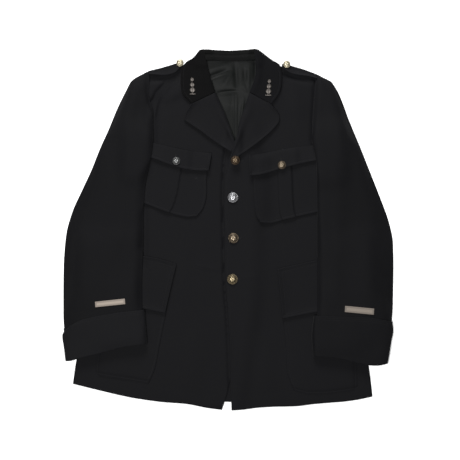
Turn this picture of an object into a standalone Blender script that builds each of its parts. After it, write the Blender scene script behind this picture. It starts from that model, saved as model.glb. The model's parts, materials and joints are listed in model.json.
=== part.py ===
# A dark wool uniform jacket, buttoned and laid flat on its back panel.
# Every cloth piece is a wall of even thickness, laid on the pieces that lie
# under it, in the order in which the garment is folded together.
import math
import bpy
import numpy as np
from collections import namedtuple

# Driving dimensions in metres
UNIT = 0.0022          # one unit of the layout sheet
MID_X = 228.1991        # layout x of the garment's middle
MID_Y = 229.6567         # layout y of the garment's middle
CLOTH = 0.0018         # wall of the wool cloth
LINING_WALL = 0.0012   # wall of the lining
TAPE_WALL = 0.0008     # wall of the sleeve tapes
SPRIG_WALL = 0.0014    # height of the metal sprigs
GAP = 0.0004           # air between two layers
CELL = 0.002           # cell of the height map
SLEEVE_PUFF = 0.0028   # air inside a sleeve along its middle
BODY_PUFF = 0.0015     # air between fronts and back
PLEAT_RISE = 0.0014    # height of a box pleat over its pocket
ROLL_RISE = 0.0020     # rise of lapels and collar beside their fold
FRONT_BUTTON = 0.0228  # diameter of the four front buttons
CHEST_BUTTON = 0.0176  # diameter of the pocket buttons
STRAP_BUTTON = 0.0166  # diameter of the shoulder buttons
HALF_X = 0.40
HALF_Y = 0.43
NX = int(2 * HALF_X / CELL) + 1
NY = int(2 * HALF_Y / CELL) + 1

Outline = namedtuple("Outline", "bottom top left right")
Fold = namedtuple("Fold", "x0 y0 x1 y1 width height")
Disc = namedtuple("Disc", "name x y diameter slot carriers")

# Outlines in layout units, (x, y) with y growing down towards the hem.
# Left and right edges run from the hem upwards, the others from left to right.
BACK = Outline(
    bottom=[(77, 382), (103, 388), (150, 396), (200, 401), (228, 401.9), (262, 401.6), (310, 398), (345, 394), (369, 391)],
    top=[(152, 78), (176, 70), (198, 62), (206, 59), (229, 60), (252, 59), (264, 64), (290, 72), (312, 83)],
    left=[(77, 382), (84, 340), (93, 290), (102, 240), (112, 185), (119, 156), (133, 138), (145, 114), (151.5, 94), (152, 78)],
    right=[(369, 391), (364, 350), (357, 290), (350, 240), (344, 190), (341, 162), (326, 152), (315, 134), (311.5, 110), (312, 83)])
BACK_LINING = Outline(
    bottom=[(225, 150), (243, 150)],
    top=[(198, 60.5), (262, 60.5)],
    left=[(225, 150), (214, 120), (205, 92), (198, 60.5)],
    right=[(243, 150), (251, 120), (260, 92), (262, 60.5)])
FRONT_RIGHT = Outline(
    bottom=[(72.8, 383.4), (90, 387.7), (103, 391), (131, 397.2), (160, 401.4), (189, 403.9), (208, 407.8), (221.5, 409.6)],
    top=[(146.6, 75.8), (150.6, 73.8), (157, 72.6), (164, 71), (176, 67.6), (190, 62.6), (203.5, 55.6)],
    left=[(72.8, 383.4), (75.7, 364), (80.1, 340), (89.5, 290), (98.5, 240), (108.5, 185), (115.5, 156), (130, 136), (139.5, 112), (143.6, 92), (146.6, 75.8)],
    right=[(221.5, 409.6), (227.5, 392), (236, 340), (243, 290), (245, 240), (245, 190), (243, 162), (234, 142), (227.5, 124), (222, 109), (216, 96), (208.5, 71), (203.5, 55.6)])
FRONT_LEFT = Outline(
    bottom=[(231.5, 409.9), (243, 409.2), (257, 407.4), (270, 406.5), (300, 405.5), (312, 403.8), (329, 402.4), (345, 401), (357, 399.4), (372.6, 396)],
    top=[(256.5, 55.6), (270, 62.6), (288, 69), (302, 73.4), (312, 76.2), (318.4, 79.4)],
    left=[(231.5, 409.9), (230.5, 385), (229.8, 350), (228, 316), (226, 291), (225, 273), (224.6, 240), (223.7, 200), (224.3, 178), (228, 164), (232, 150), (236.5, 137), (240, 122), (245, 108), (249, 94), (256, 77), (256.5, 55.6)],
    right=[(372.6, 396), (371, 382), (369.4, 370), (366.5, 350), (361, 290), (354, 240), (347.5, 190), (344.5, 160), (330, 149), (321, 133), (318.6, 112), (318.4, 79.4)])
LAPEL_RIGHT = Outline(
    bottom=[(230.5, 152), (234.6, 150.6)],
    top=[(191.7, 104.9), (215.5, 93.5)],
    left=[(230.5, 152), (224, 148.2), (212, 140), (200, 131), (189, 123.6), (184.4, 120), (184.6, 117), (191.7, 104.9)],
    right=[(234.6, 150.6), (234.8, 142), (230.8, 130), (222.8, 108.6), (215.5, 93.5)])
LAPEL_LEFT = Outline(
    bottom=[(230.6, 158), (235, 160.4)],
    top=[(249.1, 93.6), (271.1, 105.6)],
    left=[(230.6, 158), (233.2, 146), (236.4, 137), (239.4, 122), (244.4, 108), (249.1, 93.6)],
    right=[(235, 160.4), (240.4, 156), (250, 149), (262, 140), (273, 130), (279.2, 121.5), (279.4, 117.5), (271.1, 105.6)])
COLLAR_RIGHT = Outline(
    bottom=[(191.6, 104.4), (215.2, 93)],
    top=[(199.4, 50.7), (203.8, 49.9)],
    left=[(191.6, 104.4), (182.2, 93.5), (181.2, 88), (181.2, 74), (183, 66.5), (187.4, 61.5), (192.8, 58.3), (199.4, 50.7)],
    right=[(215.2, 93), (208.6, 71), (203.8, 49.9)])
COLLAR_LEFT = Outline(
    bottom=[(249.4, 93), (271.4, 105)],
    top=[(254.6, 49.6), (258.2, 50)],
    left=[(249.4, 93), (255.4, 77), (256, 62), (254.6, 49.6)],
    right=[(271.4, 105), (279.4, 93.4), (280.8, 89), (280.8, 70), (279.4, 65.6), (271.6, 60.4), (264.6, 55.1), (258.2, 50)])
CHEST_POCKET_RIGHT = Outline(
    bottom=[(144, 203.4), (157, 208.6), (171, 213.6), (188, 217.2), (197, 216.2)],
    top=[(147, 148), (170, 153.5), (208, 160)],
    left=[(144, 203.4), (147, 148)],
    right=[(197, 216.2), (203, 209), (206.2, 199), (206.8, 180), (208, 160)])
CHEST_POCKET_LEFT = Outline(
    bottom=[(260.6, 222.8), (271.4, 223.4), (283, 220.4), (296, 217.2), (321, 211.4)],
    top=[(251.6, 164), (285, 157), (320, 150)],
    left=[(260.6, 222.8), (256.6, 217), (254.8, 209), (253.4, 185), (251.6, 164)],
    right=[(321, 211.4), (320, 150)])
CHEST_FLAP_RIGHT = Outline(
    bottom=[(147, 156.8), (158, 160.6), (169, 164.8), (184.5, 169.4), (197, 171.2), (209, 171.2)],
    top=[(148, 141.5), (170, 147), (190, 151), (212, 153.4)],
    left=[(147, 156.8), (148, 141.5)],
    right=[(209, 171.2), (212, 153.4)])
CHEST_FLAP_LEFT = Outline(
    bottom=[(249.4, 176.2), (258, 175.6), (268.6, 173.2), (280, 169.4), (300, 164.3), (321, 160)],
    top=[(248.6, 156), (270, 152), (295, 147.5), (321, 144.5)],
    left=[(249.4, 176.2), (248.6, 156)],
    right=[(321, 160), (321, 144.5)])
LOWER_POCKET_RIGHT = Outline(
    bottom=[(95, 374.6), (103, 376.4), (125, 380), (148.6, 383.8)],
    top=[(104, 268), (140, 269.5), (173, 276)],
    left=[(95, 374.6), (99, 320), (104, 268)],
    right=[(148.6, 383.8), (155, 368.6), (160, 344), (165.7, 315.7), (173, 276)])
LOWER_POCKET_LEFT = Outline(
    bottom=[(293.6, 390.4), (306, 394), (329, 394), (345, 392), (358, 390)],
    top=[(280.4, 281), (300, 276), (350, 268)],
    left=[(293.6, 390.4), (287.4, 373), (285.7, 344), (283, 321), (280.4, 281)],
    right=[(358, 390), (355, 320), (350, 268)])
LOWER_FLAP_RIGHT = Outline(
    bottom=[(98, 303.4), (120, 305), (145.7, 309), (165.5, 313)],
    top=[(102, 254.4), (144, 255.8), (160, 258.6), (177, 263.8)],
    left=[(98, 303.4), (102, 254.4)],
    right=[(165.5, 313), (171.4, 287), (177, 263.8)])
LOWER_FLAP_LEFT = Outline(
    bottom=[(282.2, 318.6), (297, 315.6), (315.7, 312), (352, 306)],
    top=[(277.2, 268.6), (300, 263.6), (317, 260), (351, 254.5)],
    left=[(282.2, 318.6), (280, 294), (277.2, 268.6)],
    right=[(352, 306), (351, 254.5)])
SLEEVE_RIGHT = Outline(
    bottom=[(69, 356.6), (96, 351), (124, 344), (146, 340.8)],
    top=[(149.5, 71.6), (149.6, 81), (149, 90), (150, 100), (153, 110)],
    left=[(69, 356.6), (65.4, 335), (64, 315), (63.8, 285), (64.4, 258), (67.4, 230), (73.5, 210), (82.7, 190), (92, 170), (100, 150), (109, 130), (117.3, 109.8), (126.7, 90.6), (131.4, 82.2), (139, 76.6), (149.5, 71.6)],
    right=[(146, 340.8), (142.6, 309), (142.2, 287), (143.6, 240), (143.8, 206), (146, 183), (151, 159), (153.2, 140), (153, 110)])
SLEEVE_LEFT = Outline(
    bottom=[(316, 352.4), (335.7, 354.4), (357, 358.6), (384, 359.8)],
    top=[(311.6, 141), (312.4, 118), (313.6, 100), (314.8, 90), (315.7, 74.4)],
    left=[(316, 352.4), (317, 312), (317, 240), (316.8, 190), (315.6, 160), (311.6, 141)],
    right=[(384, 359.8), (389.4, 335), (391.8, 315), (392.8, 285), (392.9, 255), (392.2, 239), (388.4, 222), (376.6, 190), (368.7, 170), (360.7, 150), (348.8, 121), (336.2, 90), (330.6, 82), (323, 78), (315.7, 74.4)])
CUFF_RIGHT = Outline(
    bottom=[(66.2, 360.6), (73, 359.8), (80, 357.4), (96, 353.6), (124, 346.4), (149.2, 343)],
    top=[(71.4, 325.4), (78.6, 320.8), (96, 315.8), (117, 312), (145, 309)],
    left=[(66.2, 360.6), (64.6, 346), (63.3, 334), (71.4, 325.4)],
    right=[(149.2, 343), (145, 309)])
CUFF_LEFT = Outline(
    bottom=[(313, 355.8), (335.7, 357.4), (357, 362), (369, 364.6), (378, 364.8), (387, 363)],
    top=[(313.8, 314.8), (343, 315.8), (371, 317), (391.4, 321.4)],
    left=[(313, 355.6), (311.6, 335), (313.8, 314.8)],
    right=[(387, 363), (389.2, 350), (390.4, 341), (392.7, 331), (391.6, 321.4)])
CUFF_BACK_RIGHT = Outline(
    bottom=[(70, 357.4), (96, 351.4), (124, 344.4), (146, 341)],
    top=[(63.4, 328.4), (90, 321), (142, 312)],
    left=[(70, 357.4), (66, 345), (63.4, 328.4)],
    right=[(146, 341), (142, 312)])
CUFF_BACK_LEFT = Outline(
    bottom=[(316, 352.4), (335.7, 354), (357, 358.4), (384, 359.4)],
    top=[(317, 318), (355, 320), (392.6, 325.8)],
    left=[(316, 352.4), (317, 318)],
    right=[(384, 359.4), (388.8, 342), (392.6, 325.8)])
TAPE_RIGHT = Outline(
    bottom=[(96.4, 307.4), (126.2, 304.2)],
    top=[(96, 301.2), (125.7, 298)],
    left=[(96.4, 307.4), (96, 301.2)],
    right=[(126.2, 304.2), (125.7, 298)])
TAPE_LEFT = Outline(
    bottom=[(343.8, 311.4), (372.8, 314.2)],
    top=[(344.2, 305.2), (373.2, 308)],
    left=[(343.8, 311.4), (344.2, 305.2)],
    right=[(372.8, 314.2), (373.2, 308)])

# Shoulder straps, one row a station: x, y of the front edge, y of the fold
STRAP_RIGHT = [(150.2, 74.4, 71.0), (157, 75.4, 69.4), (164, 75.8, 67.5), (170, 75, 65.8), (176, 72.6, 63.9), (180.4, 68.2, 62.8)]
STRAP_LEFT = [(281.9, 68.4, 64.3), (287, 72.2, 65.1), (294, 74.8, 67), (301, 76, 69), (308, 76.8, 71.3), (314.6, 78.4, 74)]
STRAP_UNDER = 15.0     # depth of a strap behind the shoulder, layout units
COLLAR_FOLD = [(199.8, 50.2), (210, 49.9), (229, 50.8), (246, 49.9), (255.6, 49.4)]
COLLAR_UNDER = 24.0    # depth of the collar behind the back, layout units
STAND_DEPTH = 11.2      # depth of the band inside the collar, layout units

# Large soft folds, in layout units, height in metres
FOLDS_FRONT_RIGHT = [Fold(177, 79, 160, 104, 6, 0.0030), Fold(160, 104, 157, 140, 6, 0.0018)]
FOLDS_FRONT_LEFT = [Fold(296, 84, 306, 118, 8, 0.0024), Fold(300, 200, 296, 250, 12, 0.0014)]
FOLDS_SLEEVE_RIGHT = [Fold(136, 88, 118, 150, 9, 0.0024), Fold(112, 200, 100, 290, 14, 0.0018)]
FOLDS_SLEEVE_LEFT = [Fold(326, 92, 344, 150, 9, 0.0024), Fold(352, 200, 366, 290, 14, 0.0018)]

# Colours, linear, and finish of each kind of material
FINISH = {
    "wool": ((0.0130, 0.0130, 0.0150), 0.92, 0.0),
    "satin": ((0.0180, 0.0200, 0.0190), 0.45, 0.0),
    "braid": ((0.3300, 0.2850, 0.2400), 0.85, 0.0),
    "bronze": ((0.1600, 0.1150, 0.0650), 0.38, 1.0),
    "silver": ((0.5600, 0.5600, 0.5700), 0.30, 1.0),
    "brass": ((0.3800, 0.2900, 0.1700), 0.35, 1.0),
    "gilt": ((0.5600, 0.4700, 0.2600), 0.30, 1.0),
}

DISCS = [
    Disc("front_button_1", 235.2, 161.0, 0.0198, "bronze", ("front_left", "lapel_left")),
    Disc("front_button_2", 232.9, 197.6, FRONT_BUTTON, "silver", ("front_left",)),
    Disc("front_button_3", 233.4, 238.0, FRONT_BUTTON, "brass", ("front_left",)),
    Disc("front_button_4", 232.4, 279.0, FRONT_BUTTON, "brass", ("front_left",)),
    Disc("chest_button_right", 176.6, 161.4, CHEST_BUTTON, "silver", ("chest_flap_right",)),
    Disc("chest_button_left", 281.4, 165.5, CHEST_BUTTON, "brass", ("chest_flap_left",)),
    Disc("strap_button_right", 180.2, 63.6, STRAP_BUTTON, "gilt", ("shoulder_strap_right", "collar_leaf_right")),
    Disc("strap_button_left", 285.8, 65.8, STRAP_BUTTON, "gilt", ("shoulder_strap_left",)),
]
# Height profile of a domed button: part of the radius, part of the radius up
DOME = [(0.80, 0.00), (0.97, 0.08), (1.00, 0.18), (0.93, 0.26), (0.82, 0.24), (0.50, 0.38)]
DOME_TOP = 0.45

tops = {}
faces_up = {}


def clear_scene():
    for item in list(bpy.data.objects):
        bpy.data.objects.remove(item, do_unlink=True)


def material_for(name, slot):
    """A Principled material of its own for one piece."""
    colour, roughness, metallic = FINISH[slot]
    material = bpy.data.materials.new(name + "_" + slot)
    material.use_nodes = True
    shader = material.node_tree.nodes["Principled BSDF"]
    shader.inputs["Base Color"].default_value = (*colour, 1.0)
    shader.inputs["Roughness"].default_value = roughness
    shader.inputs["Metallic"].default_value = metallic
    return material


def to_metres(points):
    """Layout (x, y) to metres, with y turned to grow upwards."""
    table = np.asarray(points, dtype=float)
    return np.stack([(table[..., 0] - MID_X) * UNIT, (MID_Y - table[..., 1]) * UNIT], axis=-1)


def along(points, share):
    """Smooth curve through the points at the given shares of its length."""
    table = to_metres(points)
    steps = np.hypot(*np.diff(table, axis=0).T)
    place = np.concatenate([[0.0], np.cumsum(steps)])
    place = place / place[-1]
    slope = np.gradient(table, place, axis=0) if len(table) > 2 else np.tile(table[1] - table[0], (2, 1))
    share = np.clip(np.asarray(share, dtype=float), 0.0, 1.0)
    index = np.clip(np.searchsorted(place, share, side="right") - 1, 0, len(place) - 2)
    span = place[index + 1] - place[index]
    t = ((share - place[index]) / span)[:, None]
    span = span[:, None]
    p0 = table[index]
    p1 = table[index + 1]
    m0 = slope[index] * span * 0.8
    m1 = slope[index + 1] * span * 0.8
    a = 2 * t ** 3 - 3 * t ** 2 + 1
    b = t ** 3 - 2 * t ** 2 + t
    c = -2 * t ** 3 + 3 * t ** 2
    d = t ** 3 - t ** 2
    if len(table) == 2:
        return p0 + t * (p1 - p0)
    return a * p0 + b * m0 + c * p1 + d * m1


def patch(outline, cols, rows):
    """Grid inside four edge curves: sum of the two blends less the corners."""
    u = np.asarray(cols, dtype=float)
    v = np.asarray(rows, dtype=float)
    left = along(outline.left, v)
    right = along(outline.right, v)
    ends_left = along(outline.left, [0.0, 1.0])
    ends_right = along(outline.right, [0.0, 1.0])
    edge = []
    for side, points in ((0, outline.bottom), (1, outline.top)):
        line = along(points, u)
        ends = along(points, [0.0, 1.0])
        shift = (1 - u)[:, None] * (ends_left[side] - ends[0]) + u[:, None] * (ends_right[side] - ends[1])
        edge.append(line + shift)
    uu = u[None, :, None]
    vv = v[:, None, None]
    blend = (1 - vv) * edge[0][None] + vv * edge[1][None] + (1 - uu) * left[:, None] + uu * right[:, None]
    corner = (1 - vv) * ((1 - uu) * ends_left[0] + uu * ends_right[0])
    corner = corner + vv * ((1 - uu) * ends_left[1] + uu * ends_right[1])
    return blend - corner


def triangles(rows, cols):
    """Corner numbers of the two triangles of each grid cell."""
    base = (np.arange(rows - 1)[:, None] * cols + np.arange(cols - 1)[None]).ravel()
    first = np.stack([base, base + 1, base + cols + 1], axis=1)
    second = np.stack([base, base + cols + 1, base + cols], axis=1)
    return np.concatenate([first, second])


def weights(n):
    """Barycentric weights of a fine lattice on a triangle."""
    pairs = [(i / n, j / n) for i in range(n + 1) for j in range(n + 1 - i)]
    table = np.array(pairs)
    return np.column_stack([table, 1.0 - table.sum(axis=1)])


def samples(xy, tri, step):
    """Points of a lattice with the given step on every triangle, and weights."""
    corners = xy.reshape(-1, 2)[tri]
    longest = max(np.hypot(*(corners[:, k] - corners[:, k - 1]).T).max() for k in range(3))
    bary = weights(max(2, int(math.ceil(longest / step))))
    return np.einsum("kc,tcd->tkd", bary, corners), bary


def cell_of(points):
    ix = np.clip(np.rint((points[..., 0] + HALF_X) / CELL).astype(int), 0, NX - 1)
    iy = np.clip(np.rint((points[..., 1] + HALF_Y) / CELL).astype(int), 0, NY - 1)
    return iy, ix


def widen(field, cells):
    """Largest value within so many cells, first across and then up."""
    for axis in (0, 1):
        out = field.copy()
        for step in range(1, cells + 1):
            out = np.maximum(out, np.roll(field, step, axis=axis))
            out = np.maximum(out, np.roll(field, -step, axis=axis))
        field = out
    return field


def soften(field, cells):
    """Mean over so many cells on each side, across and then up, twice."""
    for turn in range(2):
        for axis in (0, 1):
            total = field.copy()
            for step in range(1, cells + 1):
                total = total + np.roll(field, step, axis=axis) + np.roll(field, -step, axis=axis)
            field = total / (2 * cells + 1)
    return field


def ground_of(skip=(), only=None):
    """Upper envelope of the pieces laid so far."""
    field = np.zeros((NY, NX))
    for name, top in tops.items():
        if name in skip or (only is not None and name not in only):
            continue
        field = np.maximum(field, top)
    return field


def note_top(name, xy, z):
    """Enter a piece's upper face in its own height map."""
    tri = triangles(*xy.shape[:2])
    points, bary = samples(xy, tri, CELL * 0.6)
    height = np.einsum("kc,tc->tk", bary, z.ravel()[tri])
    field = np.zeros((NY, NX))
    iy, ix = cell_of(points)
    np.maximum.at(field, (iy.ravel(), ix.ravel()), height.ravel())
    faces_up[name] = field
    tops[name] = widen(field, 1)


def rest_heights(xy, skip, drop_cols, reach=4):
    """Lowest heights at which the grid clears everything under it."""
    ground = ground_of(skip)
    need = np.where(ground > 1e-6, ground + GAP, 0.0)
    easy = soften(widen(need, reach), reach) if reach else need
    iy, ix = cell_of(xy)
    z = easy[iy, ix]
    for col in drop_cols:
        z[:, col] = need[iy[:, col], ix[:, col]]
    tri = triangles(*xy.shape[:2])
    points, bary = samples(xy, tri, CELL)
    sy, sx = cell_of(points)
    wanted = need[sy, sx]
    flat = z.ravel().copy()
    for turn in range(60):
        lack = wanted - np.einsum("kc,tc->tk", bary, flat[tri])
        worst = lack.max(axis=1)
        if worst.max() < 1e-6:
            break
        lift = np.zeros_like(flat)
        share = 0.5 if turn < 40 else 1.0
        push = np.where(lack > 0, lack, 0.0)
        for k in range(3):
            toward = (push * bary[None, :, k]).max(axis=1)
            toward = np.maximum(toward, np.where(turn < 40, 0.0, worst.clip(0)))
            np.maximum.at(lift, tri[:, k], toward * share)
        flat += lift
    return flat.reshape(z.shape)


def ridge(xy, folds):
    """Soft folds: height times exp of minus the squared distance in widths."""
    total = np.zeros(xy.shape[:2])
    for fold in folds:
        ends = to_metres([(fold.x0, fold.y0), (fold.x1, fold.y1)])
        run = ends[1] - ends[0]
        t = ((xy - ends[0]) @ run / (run @ run)).clip(0, 1)
        near = ends[0] + t[..., None] * run
        far = np.hypot(*(xy - near).transpose(2, 0, 1)) / (fold.width * UNIT)
        total = np.maximum(total, fold.height * np.exp(-far ** 2))
    return total


def add_solid(name, slot, lower, upper):
    """Closed body between two grids of points that share one layout."""
    rows, cols = lower.shape[:2]
    count = rows * cols
    tri = triangles(rows, cols)
    ring = np.concatenate([
        np.arange(cols),
        np.arange(1, rows) * cols + cols - 1,
        count - 1 - np.arange(1, cols),
        (rows - 1 - np.arange(1, rows - 1)) * cols])
    after = np.roll(ring, -1)
    wall = np.concatenate([
        np.stack([ring, after, after + count], axis=1),
        np.stack([ring, after + count, ring + count], axis=1)])
    points = np.concatenate([lower.reshape(-1, 3), upper.reshape(-1, 3)])
    faces = np.concatenate([tri[:, ::-1], tri + count, wall])
    corner = points[faces]
    volume = np.einsum("ij,ij->i", corner[:, 0], np.cross(corner[:, 1], corner[:, 2])).sum()
    if volume < 0:
        faces = faces[:, ::-1]
    return add_mesh(name, slot, points, faces)


def add_mesh(name, slot, points, faces):
    mesh = bpy.data.meshes.new(name)
    mesh.from_pydata(points.tolist(), [], faces.tolist())
    mesh.update()
    item = bpy.data.objects.new(name, mesh)
    bpy.context.collection.objects.link(item)
    mesh.materials.append(material_for(name, slot))
    return item


def lay(name, slot, outline, cols, rows, wall=CLOTH, skip=(), drop_cols=(), extra=None, folds=()):
    """Lay a sheet on all that lies there already and return its grid."""
    xy = patch(outline, cols, rows)
    z = rest_heights(xy, skip, drop_cols)
    if folds:
        z = z + ridge(xy, folds)
    if extra is not None:
        z = z + extra(np.asarray(cols)[None, :], np.asarray(rows)[:, None])
    lower = np.dstack([xy, z])
    upper = np.dstack([xy, z + wall])
    add_solid(name, slot, lower, upper)
    note_top(name, xy, z + wall)
    return lower


def even(count, start=0.0, end=1.0):
    return np.linspace(start, end, count + 1)


def edged(count, margin, ends=(True, True)):
    """Even shares with two close steps beside the chosen ends."""
    low = [0.0, margin] if ends[0] else [0.0]
    high = [1.0 - margin, 1.0] if ends[1] else [1.0]
    start = margin * 3.2 if ends[0] else 1.0 / count
    stop = 1.0 - margin * 3.2 if ends[1] else 1.0 - 1.0 / count
    return np.array(low + list(np.linspace(start, stop, count - 1)) + high)


def wrap(name, slot, profile, wall=CLOTH):
    """Closed wall about a middle surface, moved both ways along its normal."""
    across = np.gradient(profile, axis=1)
    up = np.gradient(profile, axis=0)
    normal = np.cross(across, up)
    normal /= np.linalg.norm(normal, axis=2, keepdims=True)
    add_solid(name, slot, profile - normal * wall / 2, profile + normal * wall / 2)


def under_part(name, xy):
    """Reserve the floor for the part of a folded piece that lies below."""
    note_top(name, xy, np.full(xy.shape[:2], CLOTH))


def folded(name, slot, stations, fold_y, top_y, under_depth, skip=()):
    """A strip folded over a top edge: lower part on the floor, bend, top part."""
    x = stations
    rows = []
    lower_ys = [fold_y + under_depth, fold_y + under_depth * 0.55, fold_y + 2.2, fold_y + 0.9]
    for y in lower_ys:
        flat = to_metres(np.stack([x, y], axis=-1))
        rows.append(np.column_stack([flat, np.full(len(x), CLOTH / 2)]))
    upper = []
    for share in (0.0, 0.25, 0.6, 1.0):
        y = (fold_y + 1.1) * (1 - share) + top_y * share
        upper.append(to_metres(np.stack([x, y], axis=-1)))
    xy = np.array(upper)
    z = rest_heights(xy, skip, ()) + CLOTH / 2 + 0.0002
    z = np.maximum(z, CLOTH * 1.5 + GAP * 2)
    bend = to_metres(np.stack([x, fold_y + 0.42], axis=-1))
    mid = (CLOTH / 2 + z[0]) / 2
    rows.append(np.column_stack([bend, mid]))
    for k in range(4):
        rows.append(np.column_stack([xy[k], z[k]]))
    profile = np.array(rows)
    wrap(name, slot, profile)
    note_top(name, xy, z + CLOTH / 2)


def disc(entry):
    """Domed button: a turned profile on the highest point of its seat."""
    ground = np.maximum.reduce([faces_up[name] for name in entry.carriers])
    centre = to_metres([(entry.x, entry.y)])[0]
    radius = entry.diameter / 2
    turn = np.linspace(0, 2 * math.pi, 14, endpoint=False)
    circle = np.stack([np.cos(turn), np.sin(turn)], axis=1)
    seat = centre + circle[None] * radius * np.linspace(0.0, 0.9, 8)[:, None, None]
    iy, ix = cell_of(seat)
    base = ground[iy, ix].max() + 0.0003
    points = [(centre[0], centre[1], base)]
    for part, up in DOME:
        for angle in turn:
            points.append((centre[0] + part * radius * math.cos(angle), centre[1] + part * radius * math.sin(angle), base + up * radius))
    points.append((centre[0], centre[1], base + DOME_TOP * radius))
    n = len(turn)
    faces = []
    for k in range(n):
        m = (k + 1) % n
        faces.append((0, 1 + m, 1 + k))
        for ring in range(len(DOME) - 1):
            a = 1 + ring * n + k
            b = 1 + ring * n + m
            faces.append((a, b, b + n))
            faces.append((a, b + n, a + n))
        last = 1 + (len(DOME) - 1) * n
        faces.append((last + k, last + m, len(points) - 1))
    add_mesh(entry.name, entry.slot, np.array(points), np.array(faces))


def sprig(name, x, y0, y1, lean, carrier):
    """Collar sprig: three lozenges on a stem with a bar under them."""
    rows = np.linspace(0, 1, 25)
    wave = np.abs(np.sin(rows * math.pi * 3.0))
    half = 0.9 + 2.3 * wave * (1 - 0.25 * rows)
    half[:3] = 2.9
    y = y1 + (y0 - y1) * rows
    middle = x + lean * rows
    grid = np.stack([np.stack([middle + half * k, y], axis=-1) for k in (-1.0, 0.0, 1.0)], axis=1)
    xy = to_metres(grid)
    z = rest_heights(xy, [n for n in tops if n != carrier], (), reach=0)
    crown = np.array([0.35, 1.0, 0.35])[None, :] * SPRIG_WALL
    add_solid(name, "silver", np.dstack([xy, z]), np.dstack([xy, z + crown]))


def puff(amount):
    return lambda u, v: amount * np.sin(np.pi * u) ** 0.8 * np.sin(np.pi * np.clip(v * 1.04, 0, 1)) ** 0.5


def roll(amount, at_right):
    """Rise that fades away from the fold edge, and drops at the edge itself."""
    def rise(u, v):
        far = (1 - u) if at_right else u
        return amount * np.exp(-((far - 0.12) / 0.16) ** 2) * np.sin(np.pi * np.clip(v * 0.8 + 0.15, 0, 1))
    return rise


def pleated(start, end, rise):
    """Box pleat: the middle of the pocket stands up between two lines."""
    def height(u, v):
        inside = ((u > start) & (u < end)).astype(float)
        return rise * inside * np.ones_like(v)
    return height


def pleat_cols(start, end, edge=0.012):
    return np.array([0, 0.12, start * 0.5 + 0.08, start - edge, start + edge, (start + end) / 2, end - edge, end + edge, (end + 1) / 2, 0.88, 1.0])


def body_lift(u, v):
    return BODY_PUFF * np.sin(np.pi * u) * np.sin(np.pi * v)


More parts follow.
